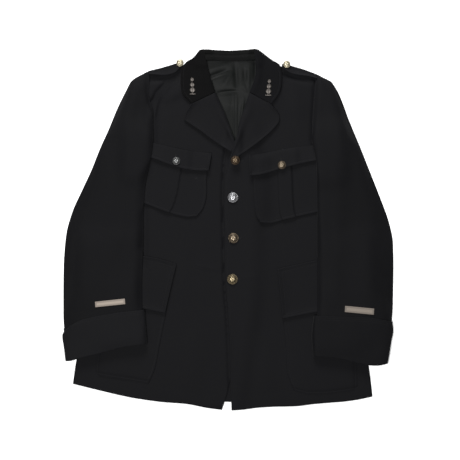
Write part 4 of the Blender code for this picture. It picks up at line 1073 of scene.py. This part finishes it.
# %% Folded strips
def folded(name, material, x, fold_y, top_y, depth, skip, crown=None, rests_on=()):
    """Middle surface by rows: flat part, half circle of bend in y and z, and the upper part resting on the map."""
    t = np.linspace(0, 1, 22)[:, None]
    upper_y = (fold_y + 1.3)[None] + (top_y - fold_y - 1.3)[None] * t
    xy = to_metres(np.stack([np.broadcast_to(x, upper_y.shape), upper_y], axis=-1))
    z = rest_heights(xy, skip, 0.003, 2)[0]
    z = np.maximum(z + CLOTH / 2 + 0.0002, CLOTH * 1.5 + GAP * 2) + (crown(t) if crown else 0.0)
    under_y = fold_y[None] + 1.3 + (depth - 1.3) * np.linspace(1, 0, 10)[:, None]
    under = to_metres(np.stack([np.broadcast_to(x, under_y.shape), under_y], axis=-1))
    rows = [np.dstack([under, np.full(under.shape[:2], CLOTH / 2)])]
    turn = np.linspace(-np.pi / 2, np.pi / 2, 11)[1:-1, None]
    middle = (CLOTH / 2 + z[0]) / 2
    half = (z[0] - CLOTH / 2) / 2
    bend_y = (fold_y + 1.3)[None] - 0.95 * np.cos(turn)
    bend = to_metres(np.stack([np.broadcast_to(x, bend_y.shape), bend_y], axis=-1))
    rows.append(np.dstack([bend, middle[None] + half[None] * np.sin(turn)]))
    rows.append(np.dstack([xy, z]))
    profile = np.concatenate(rows)
    normal = np.cross(np.gradient(profile, axis=1), np.gradient(profile, axis=0))
    normal /= np.linalg.norm(normal, axis=2, keepdims=True)
    end = np.minimum(np.arange(profile.shape[0]), np.arange(profile.shape[0])[::-1])[:, None]
    side = np.minimum(np.arange(profile.shape[1]), np.arange(profile.shape[1])[::-1])[None]
    thick = CLOTH / 2 * np.where(np.minimum(end, side) == 0, 0.45, 1.0)[..., None]
    piece = make_mesh(name + "_cloth", profile - normal * thick, profile + normal * thick)
    piece.data.materials.append(material)
    note_top(name, xy, z + CLOTH / 2)
    uppers[name] = np.dstack([xy, z + CLOTH / 2])
    width = float(np.hypot(*np.diff(profile[-1, :, :2], axis=0).T).sum())
    length = float(np.linalg.norm(np.diff(profile[:, profile.shape[1] // 2], axis=0), axis=1).sum())
    tie(piece, name, "wool", (width * 1.02, length * 1.1, width * length), rests_on)
    return profile


below = ("collar_below", "shoulder_strap_right_below", "shoulder_strap_left_below")
def stand_shape(t):
    """Roll just below the fold, a narrow seam under it, and a lower edge that lifts a little."""
    roll = 0.0024 * np.exp(-((t - 0.05) / 0.09) ** 2)
    seam = 0.0010 * np.exp(-((t - 0.22) / 0.05) ** 2) - 0.0016 * np.exp(-((t - 0.42) / 0.16) ** 2)
    return roll + seam + 0.0009 * np.clip((t - 0.5) / 0.5, 0, 1) ** 1.5


collar_profile = folded("collar_back", WOOL_STAND, fold_line[:, 0], fold_line[:, 1], fold_line[:, 1] + STAND_DEPTH, COLLAR_UNDER, below,
                        stand_shape, rests_on=["back_lining"])
print("collar band", collar_profile.shape)

# %% [markdown]
# Lapels and collar leaves are folded, not cut, along their inner line, so they rise softly there.
# The rise is a bump across the panel close to the fold; the free edges get their line of stitches.

# %% Lapels and collar
def rolled(amount, at_right, centre=0.10, width=0.13):
    """Rise beside a fold: a bell over u, held along v and let go at both ends."""
    def rise(u, v):
        far = (1 - u) if at_right else u
        return amount * np.exp(-((far - centre) / width) ** 2) * np.sin(np.pi * np.clip(v * 0.8 + 0.15, 0, 1))
    return rise


lay_cloth("lapel_right", LAPEL_RIGHT, WOOL, step=0.0034, skip=("collar_back",), drop=("right",), stitch=("left",), extra=rolled(0.0026, True),
          seed=21, lift=0.0042, waves=0.0006, grain=0.5, rests_on=["front_right"])
lay_cloth("lapel_left", LAPEL_LEFT, WOOL, step=0.0034, skip=("collar_back",), drop=("left",), stitch=("right",), extra=rolled(0.0026, False),
          seed=22, lift=0.0034, waves=0.0006, grain=-0.5, rests_on=["front_left"])
lay_cloth("collar_leaf_right", COLLAR_RIGHT, WOOL_COLLAR, step=0.0034, skip=("lapel_right",), stitch=("left",), extra=rolled(0.0022, True),
          seed=23, lift=0.0016, waves=0.0006, grain=0.2, rests_on=["front_right", "collar_back"])
lay_cloth("collar_leaf_left", COLLAR_LEFT, WOOL_COLLAR_COOL, step=0.0034, skip=("lapel_left",), stitch=("right",), extra=rolled(0.0022, False),
          seed=24, lift=0.0016, waves=0.0006, grain=-0.2, rests_on=["front_left", "collar_back"])
for strap_name, line in strap_lines.items():
    folded(strap_name, WOOL, line[:, 0], line[:, 2], line[:, 1], STRAP_UNDER, below + ("collar_leaf_right", "collar_leaf_left"),
           lambda t: 0.0030 * t ** 2, rests_on=["front_right" if strap_name.endswith("right") else "front_left"])
print("collar and lapels laid")

# %% [markdown]
# Patch pockets are flat panels sewn on three sides. The chest pockets carry a box pleat down the middle,
# a strip of cloth folded so that both its long edges stand free. It rises steeply at the two lines and is flat between.

# %% Pockets and flaps
def pleated(start, end, rise, edge=0.010, lean=0.0, first_edge=0.010):
    """Box pleat: full height between two lines, a smooth step at each; the second line leans by lean·(1 − v)."""
    def height(u, v):
        up = np.clip((u - start) / first_edge + 0.5, 0, 1)
        down = np.clip((end + lean * (1 - v) - u) / edge + 0.5, 0, 1)
        both = np.minimum(up, down)
        return rise * both * both * (3 - 2 * both)
    return height


lay_cloth("chest_pocket_right", CHEST_POCKET_RIGHT, WOOL, step=0.0026, stitch=("left", "right", "bottom"), extra=pleated(0.28, 0.62, 0.0021, lean=-0.13, first_edge=0.22),
          seed=31, lift=0.0015, waves=0.0005, grain=0.12, rests_on=["front_right"])
lay_cloth("chest_pocket_left", CHEST_POCKET_LEFT, WOOL, step=0.0026, stitch=("left", "right", "bottom"), extra=pleated(0.36, 0.58, 0.0021),
          seed=32, lift=0.0015, waves=0.0005, grain=-0.12, rests_on=["front_left"])
lay_cloth("chest_flap_right", CHEST_FLAP_RIGHT, WOOL, step=0.0034, skip=("lapel_right",), stitch=("right", "bottom"), flush=("top",), flush_over=0.028, seed=33, lift=0.0034, waves=0.0006,
          grain=-0.12, rests_on=["chest_pocket_right"])
lay_cloth("chest_flap_left", CHEST_FLAP_LEFT, WOOL, step=0.0034, skip=("lapel_left",), stitch=("left", "bottom"), flush=("top",), flush_over=0.028, seed=34, lift=0.0034, waves=0.0006,
          grain=0.15, rests_on=["chest_pocket_left"])
lay_cloth("lower_pocket_right", LOWER_POCKET_RIGHT, WOOL, flush=("left", "bottom"), wall=0.0011, stitch=("left", "right", "bottom"), seed=35, grooves=[(SLEEVE_LINE, 3.4, 0.0018)], grain=-0.06, rests_on=["front_right"])
lay_cloth("lower_pocket_left", LOWER_POCKET_LEFT, WOOL, flush=("right", "bottom"), wall=0.0011, stitch=("left", "right", "bottom"), seed=36, grain=0.03, rests_on=["front_left"])
lay_cloth("lower_flap_right", LOWER_FLAP_RIGHT, WOOL, grooves=[(SLEEVE_LINE, 3.4, 0.0026)], stitch=("left", "right", "bottom", "top"), seed=37, lift=0.0030, waves=0.0006, grain=-0.15,
          rests_on=["lower_pocket_right"])
lay_cloth("lower_flap_left", LOWER_FLAP_LEFT, WOOL, stitch=("left", "right", "bottom", "top"), seed=38, lift=0.0030, waves=0.0006, grain=0.15,
          rests_on=["lower_pocket_left"])
print("pockets laid")

# %% [markdown]
# A laid sleeve is a flattened tube: the under sleeve on the body, the top sleeve on it, and both long edges folded.
# The top sleeve holds a little air along its middle and drops at its long sides, so no cut edge shows.

# %% Sleeves and cuffs
FOLDS_SLEEVE_RIGHT = [
    Fold(137, 84, 122, 140, 7, 0.0032), Fold(130, 120, 124, 190, 6, 0.0014), Fold(118, 170, 104, 236, 11, 0.0022),
    Fold(126, 214, 112, 262, 6, 0.0014), Fold(98, 236, 88, 310, 12, 0.0020), Fold(132, 262, 128, 312, 7, 0.0012)]
FOLDS_SLEEVE_LEFT = [
    Fold(326, 88, 338, 140, 7, 0.0014), Fold(338, 118, 346, 176, 6, 0.0012), Fold(346, 172, 360, 236, 11, 0.0012),
    Fold(334, 214, 342, 262, 6, 0.0006), Fold(366, 240, 372, 310, 12, 0.0012), Fold(332, 250, 336, 306, 7, 0.0012)]


def filled(amount, left, right):
    """Air in a sleeve: from each side it rises as a parabola over a share of u, and it fades towards both ends of v."""
    def height(u, v):
        near_left = np.clip(u / left, 0, 1)
        near_right = np.clip((1 - u) / right, 0, 1)
        arch = (1 - (1 - near_left) ** 2) * (1 - (1 - near_right) ** 2)
        return amount * arch * np.sin(np.pi * np.clip(v * 1.02, 0, 1)) ** 0.35
    return height


def opened(u, v):
    """A cuff stands open at its lower edge: it rises towards v = 0, and less at both sides."""
    return 0.0034 * np.clip(1 - v / 0.8, 0, 1) ** 1.5 * np.clip(np.sin(np.pi * u), 0, 1) ** 0.25


off = ("shoulder_strap_right", "shoulder_strap_left", "collar_back")
POCKETED = [name for name in tops if "pocket" in name or "flap" in name]
lay_cloth("cuff_under_right", CUFF_BACK_RIGHT, WOOL_SLEEVE, step=0.005, waves=0.0, grain=-0.12, rests_on=["front_right"])
lay_cloth("cuff_under_left", CUFF_BACK_LEFT, WOOL_SLEEVE, step=0.005, waves=0.0, grain=0.1, rests_on=["front_left"])
lay_cloth("sleeve_under_right", SLEEVE_RIGHT, WOOL_SLEEVE, step=0.007, waves=0.0, skip=off, u_range=(0.035, 0.86), v_range=(0.0, 0.95),
          grain=-0.1, rests_on=["front_right", "cuff_under_right"])
lay_cloth("sleeve_under_left", SLEEVE_LEFT, WOOL_SLEEVE, step=0.007, waves=0.0, skip=off, u_range=(0.14, 0.965), v_range=(0.0, 0.95),
          grain=0.1, rests_on=["front_left", "cuff_under_left"])
lay_cloth("sleeve_top_right", SLEEVE_RIGHT, WOOL_SLEEVE, grooves=[(ARMHOLE_LINE, 5.0, 0.0018)], skip=off, drop=("left", "right"), tube=True, flush=("top",), flush_over=0.014, soft=6, reach=(0.030, 0.024), smooth_skip=POCKETED, extra=filled(0.0046, 0.32, 0.16), folds=FOLDS_SLEEVE_RIGHT, seed=41,
          waves=0.0012, grain=-0.1, rests_on=["sleeve_under_right"])
lay_cloth("sleeve_top_left", SLEEVE_LEFT, WOOL_SLEEVE, skip=off, drop=("left", "right"), tube=True, flush=("top",), flush_over=0.010, soft=6, reach=(0.012, 0.026), smooth_skip=POCKETED, grooves=[(SEAM_LINE, 2.6, 0.0016)], extra=filled(0.0042, 0.10, 0.24), folds=FOLDS_SLEEVE_LEFT, seed=42,
          waves=0.0012, grain=0.1, rests_on=["sleeve_under_left"])
lay_cloth("cuff_top_right", CUFF_RIGHT, WOOL_CUFF, drop=("left", "right"), tube=True, reach=(0.014, 0.020), extra=opened, stitch=("top",), seed=43, waves=0.0010, grain=-0.12, rests_on=["sleeve_top_right"])
lay_cloth("cuff_top_left", CUFF_LEFT, WOOL_SLEEVE, drop=("left", "right"), tube=True, reach=(0.010, 0.016), extra=opened, stitch=("top",), seed=44, waves=0.0010, grain=0.1, rests_on=["sleeve_top_left"])
lay_cloth("sleeve_tape_right", TAPE_RIGHT, BRAID, slot="braid", step=0.002, wall=TAPE_WALL, skip=("cuff_top_right",), waves=0.0003, seed=45,
          grain=0.1, rests_on=["sleeve_top_right"], round_at=0.0005)
lay_cloth("sleeve_tape_left", TAPE_LEFT, BRAID_DULL, slot="braid", step=0.002, wall=TAPE_WALL, skip=("cuff_top_left",), waves=0.0003, seed=46,
          grain=-0.09, rests_on=["sleeve_top_left"], round_at=0.0005)
print("sleeves laid, highest", round(float(max(t.max() for t in tops.values())) * 1000, 1), "mm")

# %% [markdown]
# Black thread sinks into black wool, but each stitch still catches a point of light on its crown.
# One stitch is a short closed capsule of few faces. It is copied along every stored line in a single array operation,
# about eight stitches to the inch, with small differences of length and direction as from a worn machine.

# %% Stitches along the edges
def capsule(length, radius, sides=6):
    """Rings along x whose radius swells and closes: the shares of length and of radius are one short table."""
    table = np.array([(0.0, 0.45), (0.14, 1.0), (0.5, 1.1), (0.86, 1.0), (1.0, 0.45)])
    turn = np.linspace(0, 2 * np.pi, sides, endpoint=False)
    x = np.repeat((table[:, 0] - 0.5) * length, sides)
    ring = radius * table[:, 1:2]
    points = np.stack([x, (ring * np.cos(turn)).ravel(), (ring * np.sin(turn)).ravel()], axis=1)
    k = np.arange(sides)
    faces = [np.stack([r * sides + k, r * sides + (k + 1) % sides, (r + 1) * sides + (k + 1) % sides, (r + 1) * sides + k], axis=1)
             for r in range(len(table) - 1)]
    last = (len(table) - 1) * sides
    caps = np.array([[0, 3, 2, 1], [0, 5, 4, 3], [last, last + 1, last + 2, last + 3], [last, last + 3, last + 4, last + 5]])
    return points, np.concatenate([np.concatenate(faces)[:, ::-1], caps])


def sew(name, lines, material, pitch=0.0032, radius=0.00022, seed=3, sink=0.00003):
    """Capsules at even pitch along 3-D lines, each turned to the line's direction there and a little off it."""
    rng = np.random.default_rng(seed)
    shape, faces = capsule(pitch * 0.80, radius)
    everything, patches, count = [], [], 0
    for line in lines:
        steps = np.linalg.norm(np.diff(line, axis=0), axis=1)
        place = np.concatenate([[0], np.cumsum(steps)])
        number = int(place[-1] / pitch)
        if number < 1:
            continue
        middle = (np.arange(number) + 0.5) * place[-1] / number
        at = np.stack([np.interp(middle, place, line[:, k]) for k in range(3)], axis=1)
        ahead = np.stack([np.interp(middle + pitch * 0.4, place, line[:, k]) for k in range(3)], axis=1)
        back = np.stack([np.interp(middle - pitch * 0.4, place, line[:, k]) for k in range(3)], axis=1)
        way = ahead - back
        way[:, :2] += rng.normal(0, 0.05, (number, 2)) * np.linalg.norm(way, axis=1, keepdims=True)
        way /= np.linalg.norm(way, axis=1, keepdims=True)
        side = np.cross(np.array([0.0, 0.0, 1.0]), way)
        side /= np.linalg.norm(side, axis=1, keepdims=True)
        up = np.cross(way, side)
        size = rng.uniform(0.92, 1.06, (number, 1, 1))
        local = shape[None] * size
        world = at[:, None] + local[..., :1] * way[:, None] + local[..., 1:2] * side[:, None] + (local[..., 2:] - sink) * up[:, None]
        everything.append(world.reshape(-1, 3))
        patches.append((faces[None] + (count + np.arange(number) * len(shape))[:, None, None]).reshape(-1, 4))
        count += number * len(shape)
    piece = add_mesh(name, np.concatenate(everything), np.concatenate(patches))
    piece.data.materials.append(material)
    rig.ride(piece, "root")
    print(name, count // len(shape), "stitches")
    return piece


groups_of = {"front": ("front_",), "collar": ("collar_", "lapel_"), "chest": ("chest_",), "lower": ("lower_",), "cuffs": ("cuff_",)}
for number, (label, starts) in enumerate(groups_of.items()):
    sew("stitches_" + label, [line for owner, line in stitch_lines if owner.startswith(starts)], THREAD, seed=50 + number)

# %% [markdown]
# The double rows on the large flaps and on the cuffs are a second, closer line of the same stitch.
# The tapes are caught down with pale thread along both long sides, right at the edge.

# %% Second rows and tape stitches
def inner_row(name, side, step=2):
    """The grid line a little further in than the stitch line of the same side."""
    upper = uppers[name]
    k = STITCH_AT + step
    return {"left": upper[k:-k, k], "right": upper[k:-k, -1 - k], "bottom": upper[k, k:-k], "top": upper[-1 - k, k:-k]}[side]


double = [("lower_flap_right", "bottom"), ("lower_flap_right", "top"), ("lower_flap_right", "right"),
          ("lower_flap_left", "bottom"), ("lower_flap_left", "top"), ("lower_flap_left", "left"),
          ("cuff_top_right", "top"), ("cuff_top_left", "top")]
sew("stitches_double", [inner_row(name, side) for name, side in double], THREAD, seed=61)
tape_lines = [uppers[name][row, 2:-2] for name in ("sleeve_tape_right", "sleeve_tape_left") for row in (3, -4)]
sew("stitches_tape", tape_lines, THREAD_PALE, pitch=0.0022, radius=0.00016, seed=62)

# %% [markdown]
# Buttons of this kind are stamped: a thin domed face with a raised rim, a ring of beads and a plain rosette.
# The outline is turned, so height depends on the radius alone; the relief adds a function of radius and angle.
# The relief is also stored as an attribute, and the metal uses it to rub the high places bright.

# %% Buttons
Button = namedtuple("Button", "name x y diameter finish carriers turn")
BUTTONS = [
    Button("front_button_1", 235.2, 161.0, 0.0198, "bronze", ("front_left", "lapel_left"), 0.2),
    Button("front_button_2", 232.9, 197.6, 0.0228, "silver", ("front_left",), 0.5),
    Button("front_button_3", 233.4, 238.0, 0.0228, "brass", ("front_left",), -0.1),
    Button("front_button_4", 232.4, 279.0, 0.0228, "old_brass", ("front_left",), 0.35),
    Button("chest_button_right", 176.6, 161.4, 0.0176, "steel", ("chest_flap_right",), 0.1),
    Button("chest_button_left", 281.4, 165.5, 0.0176, "brass", ("chest_flap_left",), 0.7),
    Button("strap_button_right", 180.2, 63.6, 0.0158, "gilt", ("shoulder_strap_right", "collar_leaf_right"), 0.0),
    Button("strap_button_left", 286.4, 65.2, 0.0158, "gilt", ("shoulder_strap_left",), 0.4)]
SHELL = np.array([(0.0, 0.0), (0.40, 0.0), (0.80, 0.0), (0.92, 0.03), (0.98, 0.09), (1.0, 0.15), (0.99, 0.21), (0.955, 0.25), (0.91, 0.25),
                  (0.87, 0.225)])


def seat_height(carriers, centre, radius):
    """Highest point of the carriers' upper faces under the button."""
    highest = 0.0
    for name in carriers:
        points = uppers[name].reshape(-1, 3) if name in uppers else None
        if points is None:
            continue
        near = np.hypot(points[:, 0] - centre[0], points[:, 1] - centre[1]) < radius
        highest = max(highest, float(points[near, 2].max())) if near.any() else highest
    return highest


def stamped_button(entry, columns=96, rings=30):
    """Turned shell, then rings inward over the dome; relief is beads, eight petals and a boss, each a smooth bump."""
    radius = entry.diameter / 2
    centre = to_metres([(entry.x, entry.y)])[0]
    angle = np.linspace(0, 2 * np.pi, columns, endpoint=False)[None]
    inner = np.linspace(0.85, 0.012, rings)[:, None]
    dome = 0.215 + 0.185 * (1 - (inner / 0.86) ** 2) ** 0.75
    beads = np.exp(-((inner - 0.735) / 0.045) ** 2) * (0.5 + 0.5 * np.cos(24 * angle))
    petals = np.clip(1 - ((inner - 0.37) / 0.22) ** 2, 0, 1) ** 0.6 * np.clip(np.cos(8 * (angle + entry.turn)) * 0.5 + 0.62, 0, 1)
    vein = np.exp(-(np.sin(4 * (angle + entry.turn)) / 0.12) ** 2) * np.clip(1 - ((inner - 0.37) / 0.17) ** 2, 0, 1)
    boss = np.clip(1 - (inner / 0.13) ** 2, 0, 1) ** 0.5
    relief = np.clip(0.75 * beads + petals - 0.35 * vein + boss, 0, 1.2) * np.ones_like(angle)
    height = dome + 0.045 * relief
    radii = np.concatenate([np.repeat(SHELL[1:, :1], columns, axis=1), np.repeat(inner, columns, axis=1)])
    ups = np.concatenate([np.repeat(SHELL[1:, 1:], columns, axis=1), height])
    # The outer shell's mark stays low, so the button's rim and sides take the dark colour: painted shade on its edge.
    mark = np.concatenate([np.repeat(np.clip((SHELL[1:, 1:] - 0.14) * 2.2, 0, 1), columns, axis=1), relief])
    base = seat_height(entry.carriers, centre, radius * 0.9) + 0.0002
    x = centre[0] + radius * radii * np.cos(angle)
    y = centre[1] + radius * radii * np.sin(angle)
    points = np.stack([x, y, base + radius * ups], axis=-1).reshape(-1, 3)
    count = radii.shape[0]
    row = (np.arange(count - 1)[:, None] * columns)
    k = np.arange(columns)[None]
    n = (k + 1) % columns
    quads = np.stack([row + k, row + n, row + columns + n, row + columns + k], axis=-1).reshape(-1, 4)
    low = len(points)
    points = np.concatenate([points, [[centre[0], centre[1], base]], [[centre[0], centre[1], points[-1, 2]]]])
    k, n = k[0], n[0]
    last = (count - 1) * columns
    caps = np.concatenate([np.stack([np.full(columns, low), n, k], axis=1), np.stack([np.full(columns, low + 1), last + k, last + n], axis=1)])
    faces = quads.tolist() + caps.tolist()
    mesh_faces = np.array(faces, dtype=object)
    piece = add_mesh(entry.name + "_face", points, mesh_faces, np.concatenate([mark.ravel(), [0.0, 1.0]]))
    piece.data.materials.append(METALS[entry.finish])
    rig.ride(piece, "root")
    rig.replaces(piece, entry.name)
    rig.slot(piece, {"steel": "silver", "old_brass": "brass"}.get(entry.finish, entry.finish))
    return points[:, 2].max()


for entry in BUTTONS:
    print(entry.name, "top at", round(stamped_button(entry) * 1000, 2), "mm")

# %% [markdown]
# A buttonhole is a slit whose lips are wrapped in close thread, which makes a small rope round it.
# Only the end beside the button shows; the rest lies under the button. The rope is a ring with one bead a millimetre.

# %% Buttonholes
def buttonhole(name, x0, y0, x1, y1, carrier, width=0.0018, rope=0.00045):
    """Rope round a slit: a long oval path, with the rope's radius beating once a stitch."""
    start, end = to_metres([(x0, y0), (x1, y1)])
    run = end - start
    length = float(np.hypot(*run))
    way = run / length
    side = np.array([-way[1], way[0]])
    columns = int(2 * length / 0.0005)
    t = np.linspace(0, 2 * np.pi, columns, endpoint=False)
    local_x = 0.5 * length * np.sign(np.cos(t)) * np.abs(np.cos(t)) ** 0.35
    local_y = 0.5 * width * np.sign(np.sin(t)) * np.abs(np.sin(t)) ** 0.6
    path = (start + end) / 2 + local_x[:, None] * way + local_y[:, None] * side
    grid = uppers[carrier]
    flat = grid.reshape(-1, 3)
    distance = np.hypot(path[:, None, 0] - flat[None, :, 0], path[:, None, 1] - flat[None, :, 1])
    weight = 1 / (distance + 0.0004) ** 3
    z = (weight * flat[None, :, 2]).sum(axis=1) / weight.sum(axis=1)
    spine = np.column_stack([path, z + 0.0001])
    tangent = np.roll(spine, -1, axis=0) - np.roll(spine, 1, axis=0)
    tangent /= np.linalg.norm(tangent, axis=1, keepdims=True) + 1e-12
    out = np.cross(tangent, np.array([0.0, 0.0, 1.0]))
    out /= np.linalg.norm(out, axis=1, keepdims=True) + 1e-12
    turn = np.linspace(0, 2 * np.pi, 6, endpoint=False)
    beat = rope * (0.85 + 0.15 * np.cos(np.pi * np.arange(columns)))[:, None, None]
    ring = spine[:, None] + beat * (np.cos(turn)[None, :, None] * out[:, None] + np.sin(turn)[None, :, None] * np.array([0.0, 0.0, 1.0]))
    k = np.arange(columns)[:, None]
    m = np.arange(6)[None]
    faces = np.stack([k * 6 + m, k * 6 + (m + 1) % 6, ((k + 1) % columns) * 6 + (m + 1) % 6, ((k + 1) % columns) * 6 + m], axis=-1).reshape(-1, 4)
    piece = add_mesh(name, ring.reshape(-1, 3), faces[:, ::-1])
    piece.data.materials.append(THREAD)
    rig.ride(piece, "root")


for number, (x, y) in enumerate([(235.2, 161.0), (232.9, 197.6), (233.4, 238.0), (232.4, 279.0)], start=1):
    buttonhole(f"buttonhole_{number}", x - 4.0, y, x + 8.6, y + 0.2, "front_left")
buttonhole("buttonhole_chest_right", 176.0, 153.6, 176.9, 164.2, "chest_flap_right")
buttonhole("buttonhole_chest_left", 280.6, 158.0, 281.8, 168.4, "chest_flap_left")
print("buttonholes worked")

# %% [markdown]
# Each collar leaf carries a small metal sprig. Its stem is a thin rod, and its three leaves are pointed pillows.
# They follow the collar below them, so every point first takes the collar's height and then adds its own.

# %% Collar sprigs
def pillow(centre, long, wide, lean, high, count=14):
    """Pointed leaf: half width wide * sin(pi s) ** 0.8 along s; height is an arch across, with a groove in the middle."""
    s, t = np.meshgrid(np.linspace(0.02, 0.98, count), np.linspace(-1, 1, 11), indexing="ij")
    half = wide * np.sin(np.pi * s) ** 0.8
    x = centre[0] + half * t + lean * (s - 0.5)
    y = centre[1] - long * (s - 0.5)
    arch = high * np.sqrt(np.clip(1 - t ** 2, 0, 1)) * np.sin(np.pi * s) ** 0.5 * (1 - 0.45 * np.exp(-(t / 0.16) ** 2))
    return x, y, arch


def sprig(name, x, low, high, lean, carrier):
    """Three leaves up the stem and a bar below, gathered into one closed shell each, then joined in one mesh."""
    points_all, faces_all, marks, count = [], [], [], 0
    parts = []
    for share, size in ((0.26, 1.0), (0.55, 0.86), (0.84, 0.70)):
        parts.append(pillow((x + lean * share, low + (high - low) * share), 6.0 * size, 3.0 * size, lean * 0.3, 0.0011))
    parts.append(pillow((x + lean * 0.5, (low + high) / 2), (low - high) * 1.0, 0.55, lean, 0.0009, 24))
    s, t = np.meshgrid(np.linspace(-1, 1, 12), np.linspace(-1, 1, 7), indexing="ij")
    parts.append((x + 2.9 * s, low - 0.6 + 0.55 * t, 0.0010 * np.sqrt(np.clip(1 - t ** 2, 0, 1)) * (1 - 0.3 * s ** 2)))
    for px, py, arch in parts:
        xy = to_metres(np.stack([px, py], axis=-1))
        base = sample(tops[carrier], xy)
        lower = np.dstack([xy, base - 0.0001])
        upper = np.dstack([xy, base + 0.0003 + arch])
        rows, cols = lower.shape[:2]
        size = rows * cols
        start = (np.arange(rows - 1)[:, None] * cols + np.arange(cols - 1)[None]).ravel()
        quad = np.stack([start, start + 1, start + cols + 1, start + cols], axis=1)
        ring = np.concatenate([np.arange(cols), np.arange(1, rows) * cols + cols - 1, size - 1 - np.arange(1, cols), (rows - 1 - np.arange(1, rows - 1)) * cols])
        after = np.roll(ring, -1)
        wall = np.stack([ring, after, after + size, ring + size], axis=1)
        faces = np.concatenate([quad[:, ::-1], quad + size, wall])
        flat = np.concatenate([lower.reshape(-1, 3), upper.reshape(-1, 3)])
        p = flat[quad + size]
        if np.cross(p[:, 1] - p[:, 0], p[:, 2] - p[:, 0])[:, 2].sum() < 0:
            faces = faces[:, ::-1]
        points_all.append(flat)
        faces_all.append(faces + count)
        marks.append(np.concatenate([np.zeros(size), (arch / 0.0011).ravel()]))
        count += len(flat)
    piece = add_mesh(name + "_leaves", np.concatenate(points_all), np.concatenate(faces_all), np.concatenate(marks))
    piece.data.materials.append(METALS["sprig"])
    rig.ride(piece, "root")
    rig.replaces(piece, name)
    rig.slot(piece, "silver")


sprig("collar_sprig_right", 192.8, 95.4, 77.6, -0.6, "collar_leaf_right")
sprig("collar_sprig_left", 268.0, 96.6, 79.6, 1.4, "collar_leaf_left")
print("sprigs placed")

# %% [markdown]
# The jacket lies on a white table and is seen from straight above. A large soft light beside the camera lights it, and
# a low one from the top edge draws a thin shadow under every flap; a white surrounding fills the rest, as in a light
# tent.
# The table is so much paler than the wool that it comes out white when the wool is exposed as near black.

# %% Floor, light and camera
floor_material, floor_tree, floor_shader = shader_of("white_table")
floor_shader.inputs["Base Color"].default_value = (0.94, 0.94, 0.94, 1)
floor_shader.inputs["Emission Color"].default_value = (1, 1, 1, 1)
floor_shader.inputs["Emission Strength"].default_value = 0.14
floor_shader.inputs["Roughness"].default_value = 0.9
floor.data.materials.append(floor_material)

world = bpy.data.worlds.new("light_tent")
world.use_nodes = True
world.node_tree.nodes["Background"].inputs["Color"].default_value = (1.0, 1.0, 1.0, 1)
world.node_tree.nodes["Background"].inputs["Strength"].default_value = 0.20
bpy.context.scene.world = world


def softbox(name, place, target, size, power):
    """Square area light that faces a point."""
    light = bpy.data.lights.new(name, "AREA")
    light.shape = "RECTANGLE"
    light.size, light.size_y = size
    light.energy = power
    item = bpy.data.objects.new(name, light)
    start = np.array(place)
    way = np.array(target) - start
    flat = math.hypot(way[0], way[1])
    item.location = place
    item.rotation_euler = (math.atan2(flat, -way[2]), 0.0, math.atan2(way[1], way[0]) - math.pi / 2)
    bpy.context.scene.collection.objects.link(item)
    return item


softbox("key_beside_camera", (-0.42, -0.42, 3.27), (0.0, -0.05, 0.0), (1.0, 1.0), 108.0)
softbox("low_from_the_top", (-0.25, 2.15, 1.35), (0.0, 0.0, 0.0), (1.1, 0.9), 72.0)

camera_data = bpy.data.cameras.new("camera")
camera_data.lens = 106.7
camera_data.sensor_width = 36.0
camera_data.clip_end = 20.0
camera = bpy.data.objects.new("camera", camera_data)
camera.location = ((230 - MID_X) * UNIT, (MID_Y - 230) * UNIT, 3.0)
bpy.context.scene.collection.objects.link(camera)
bpy.context.scene.camera = camera
bpy.context.scene.view_settings.view_transform = "Standard"
bpy.context.scene.view_settings.look = "None"
print("camera width at the table", round(3.0 * 36 / 106.7, 4), "m")

# %% [markdown]
# The last step prints the heights and cut sizes, and writes the box of the dressed jacket beside the imported model's
# box to extents.json.

# %% Size and finish
for top_name in ("front_left", "lapel_left", "collar_leaf_left", "sleeve_top_right", "sleeve_top_left", "cuff_top_right", "cuff_top_left"):
    print(top_name, "top", round(float(uppers[top_name][..., 2].max()) * 1000, 2))
for cut_name, values in cut_sizes.items():
    print(cut_name, "cut", values)
new_box = [[float(v) for v in corner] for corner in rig.bounds()]
with open("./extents.json", "w") as handle:
    json.dump({"cad_box": cad_box, "new_box": new_box}, handle)
print("box", new_box)
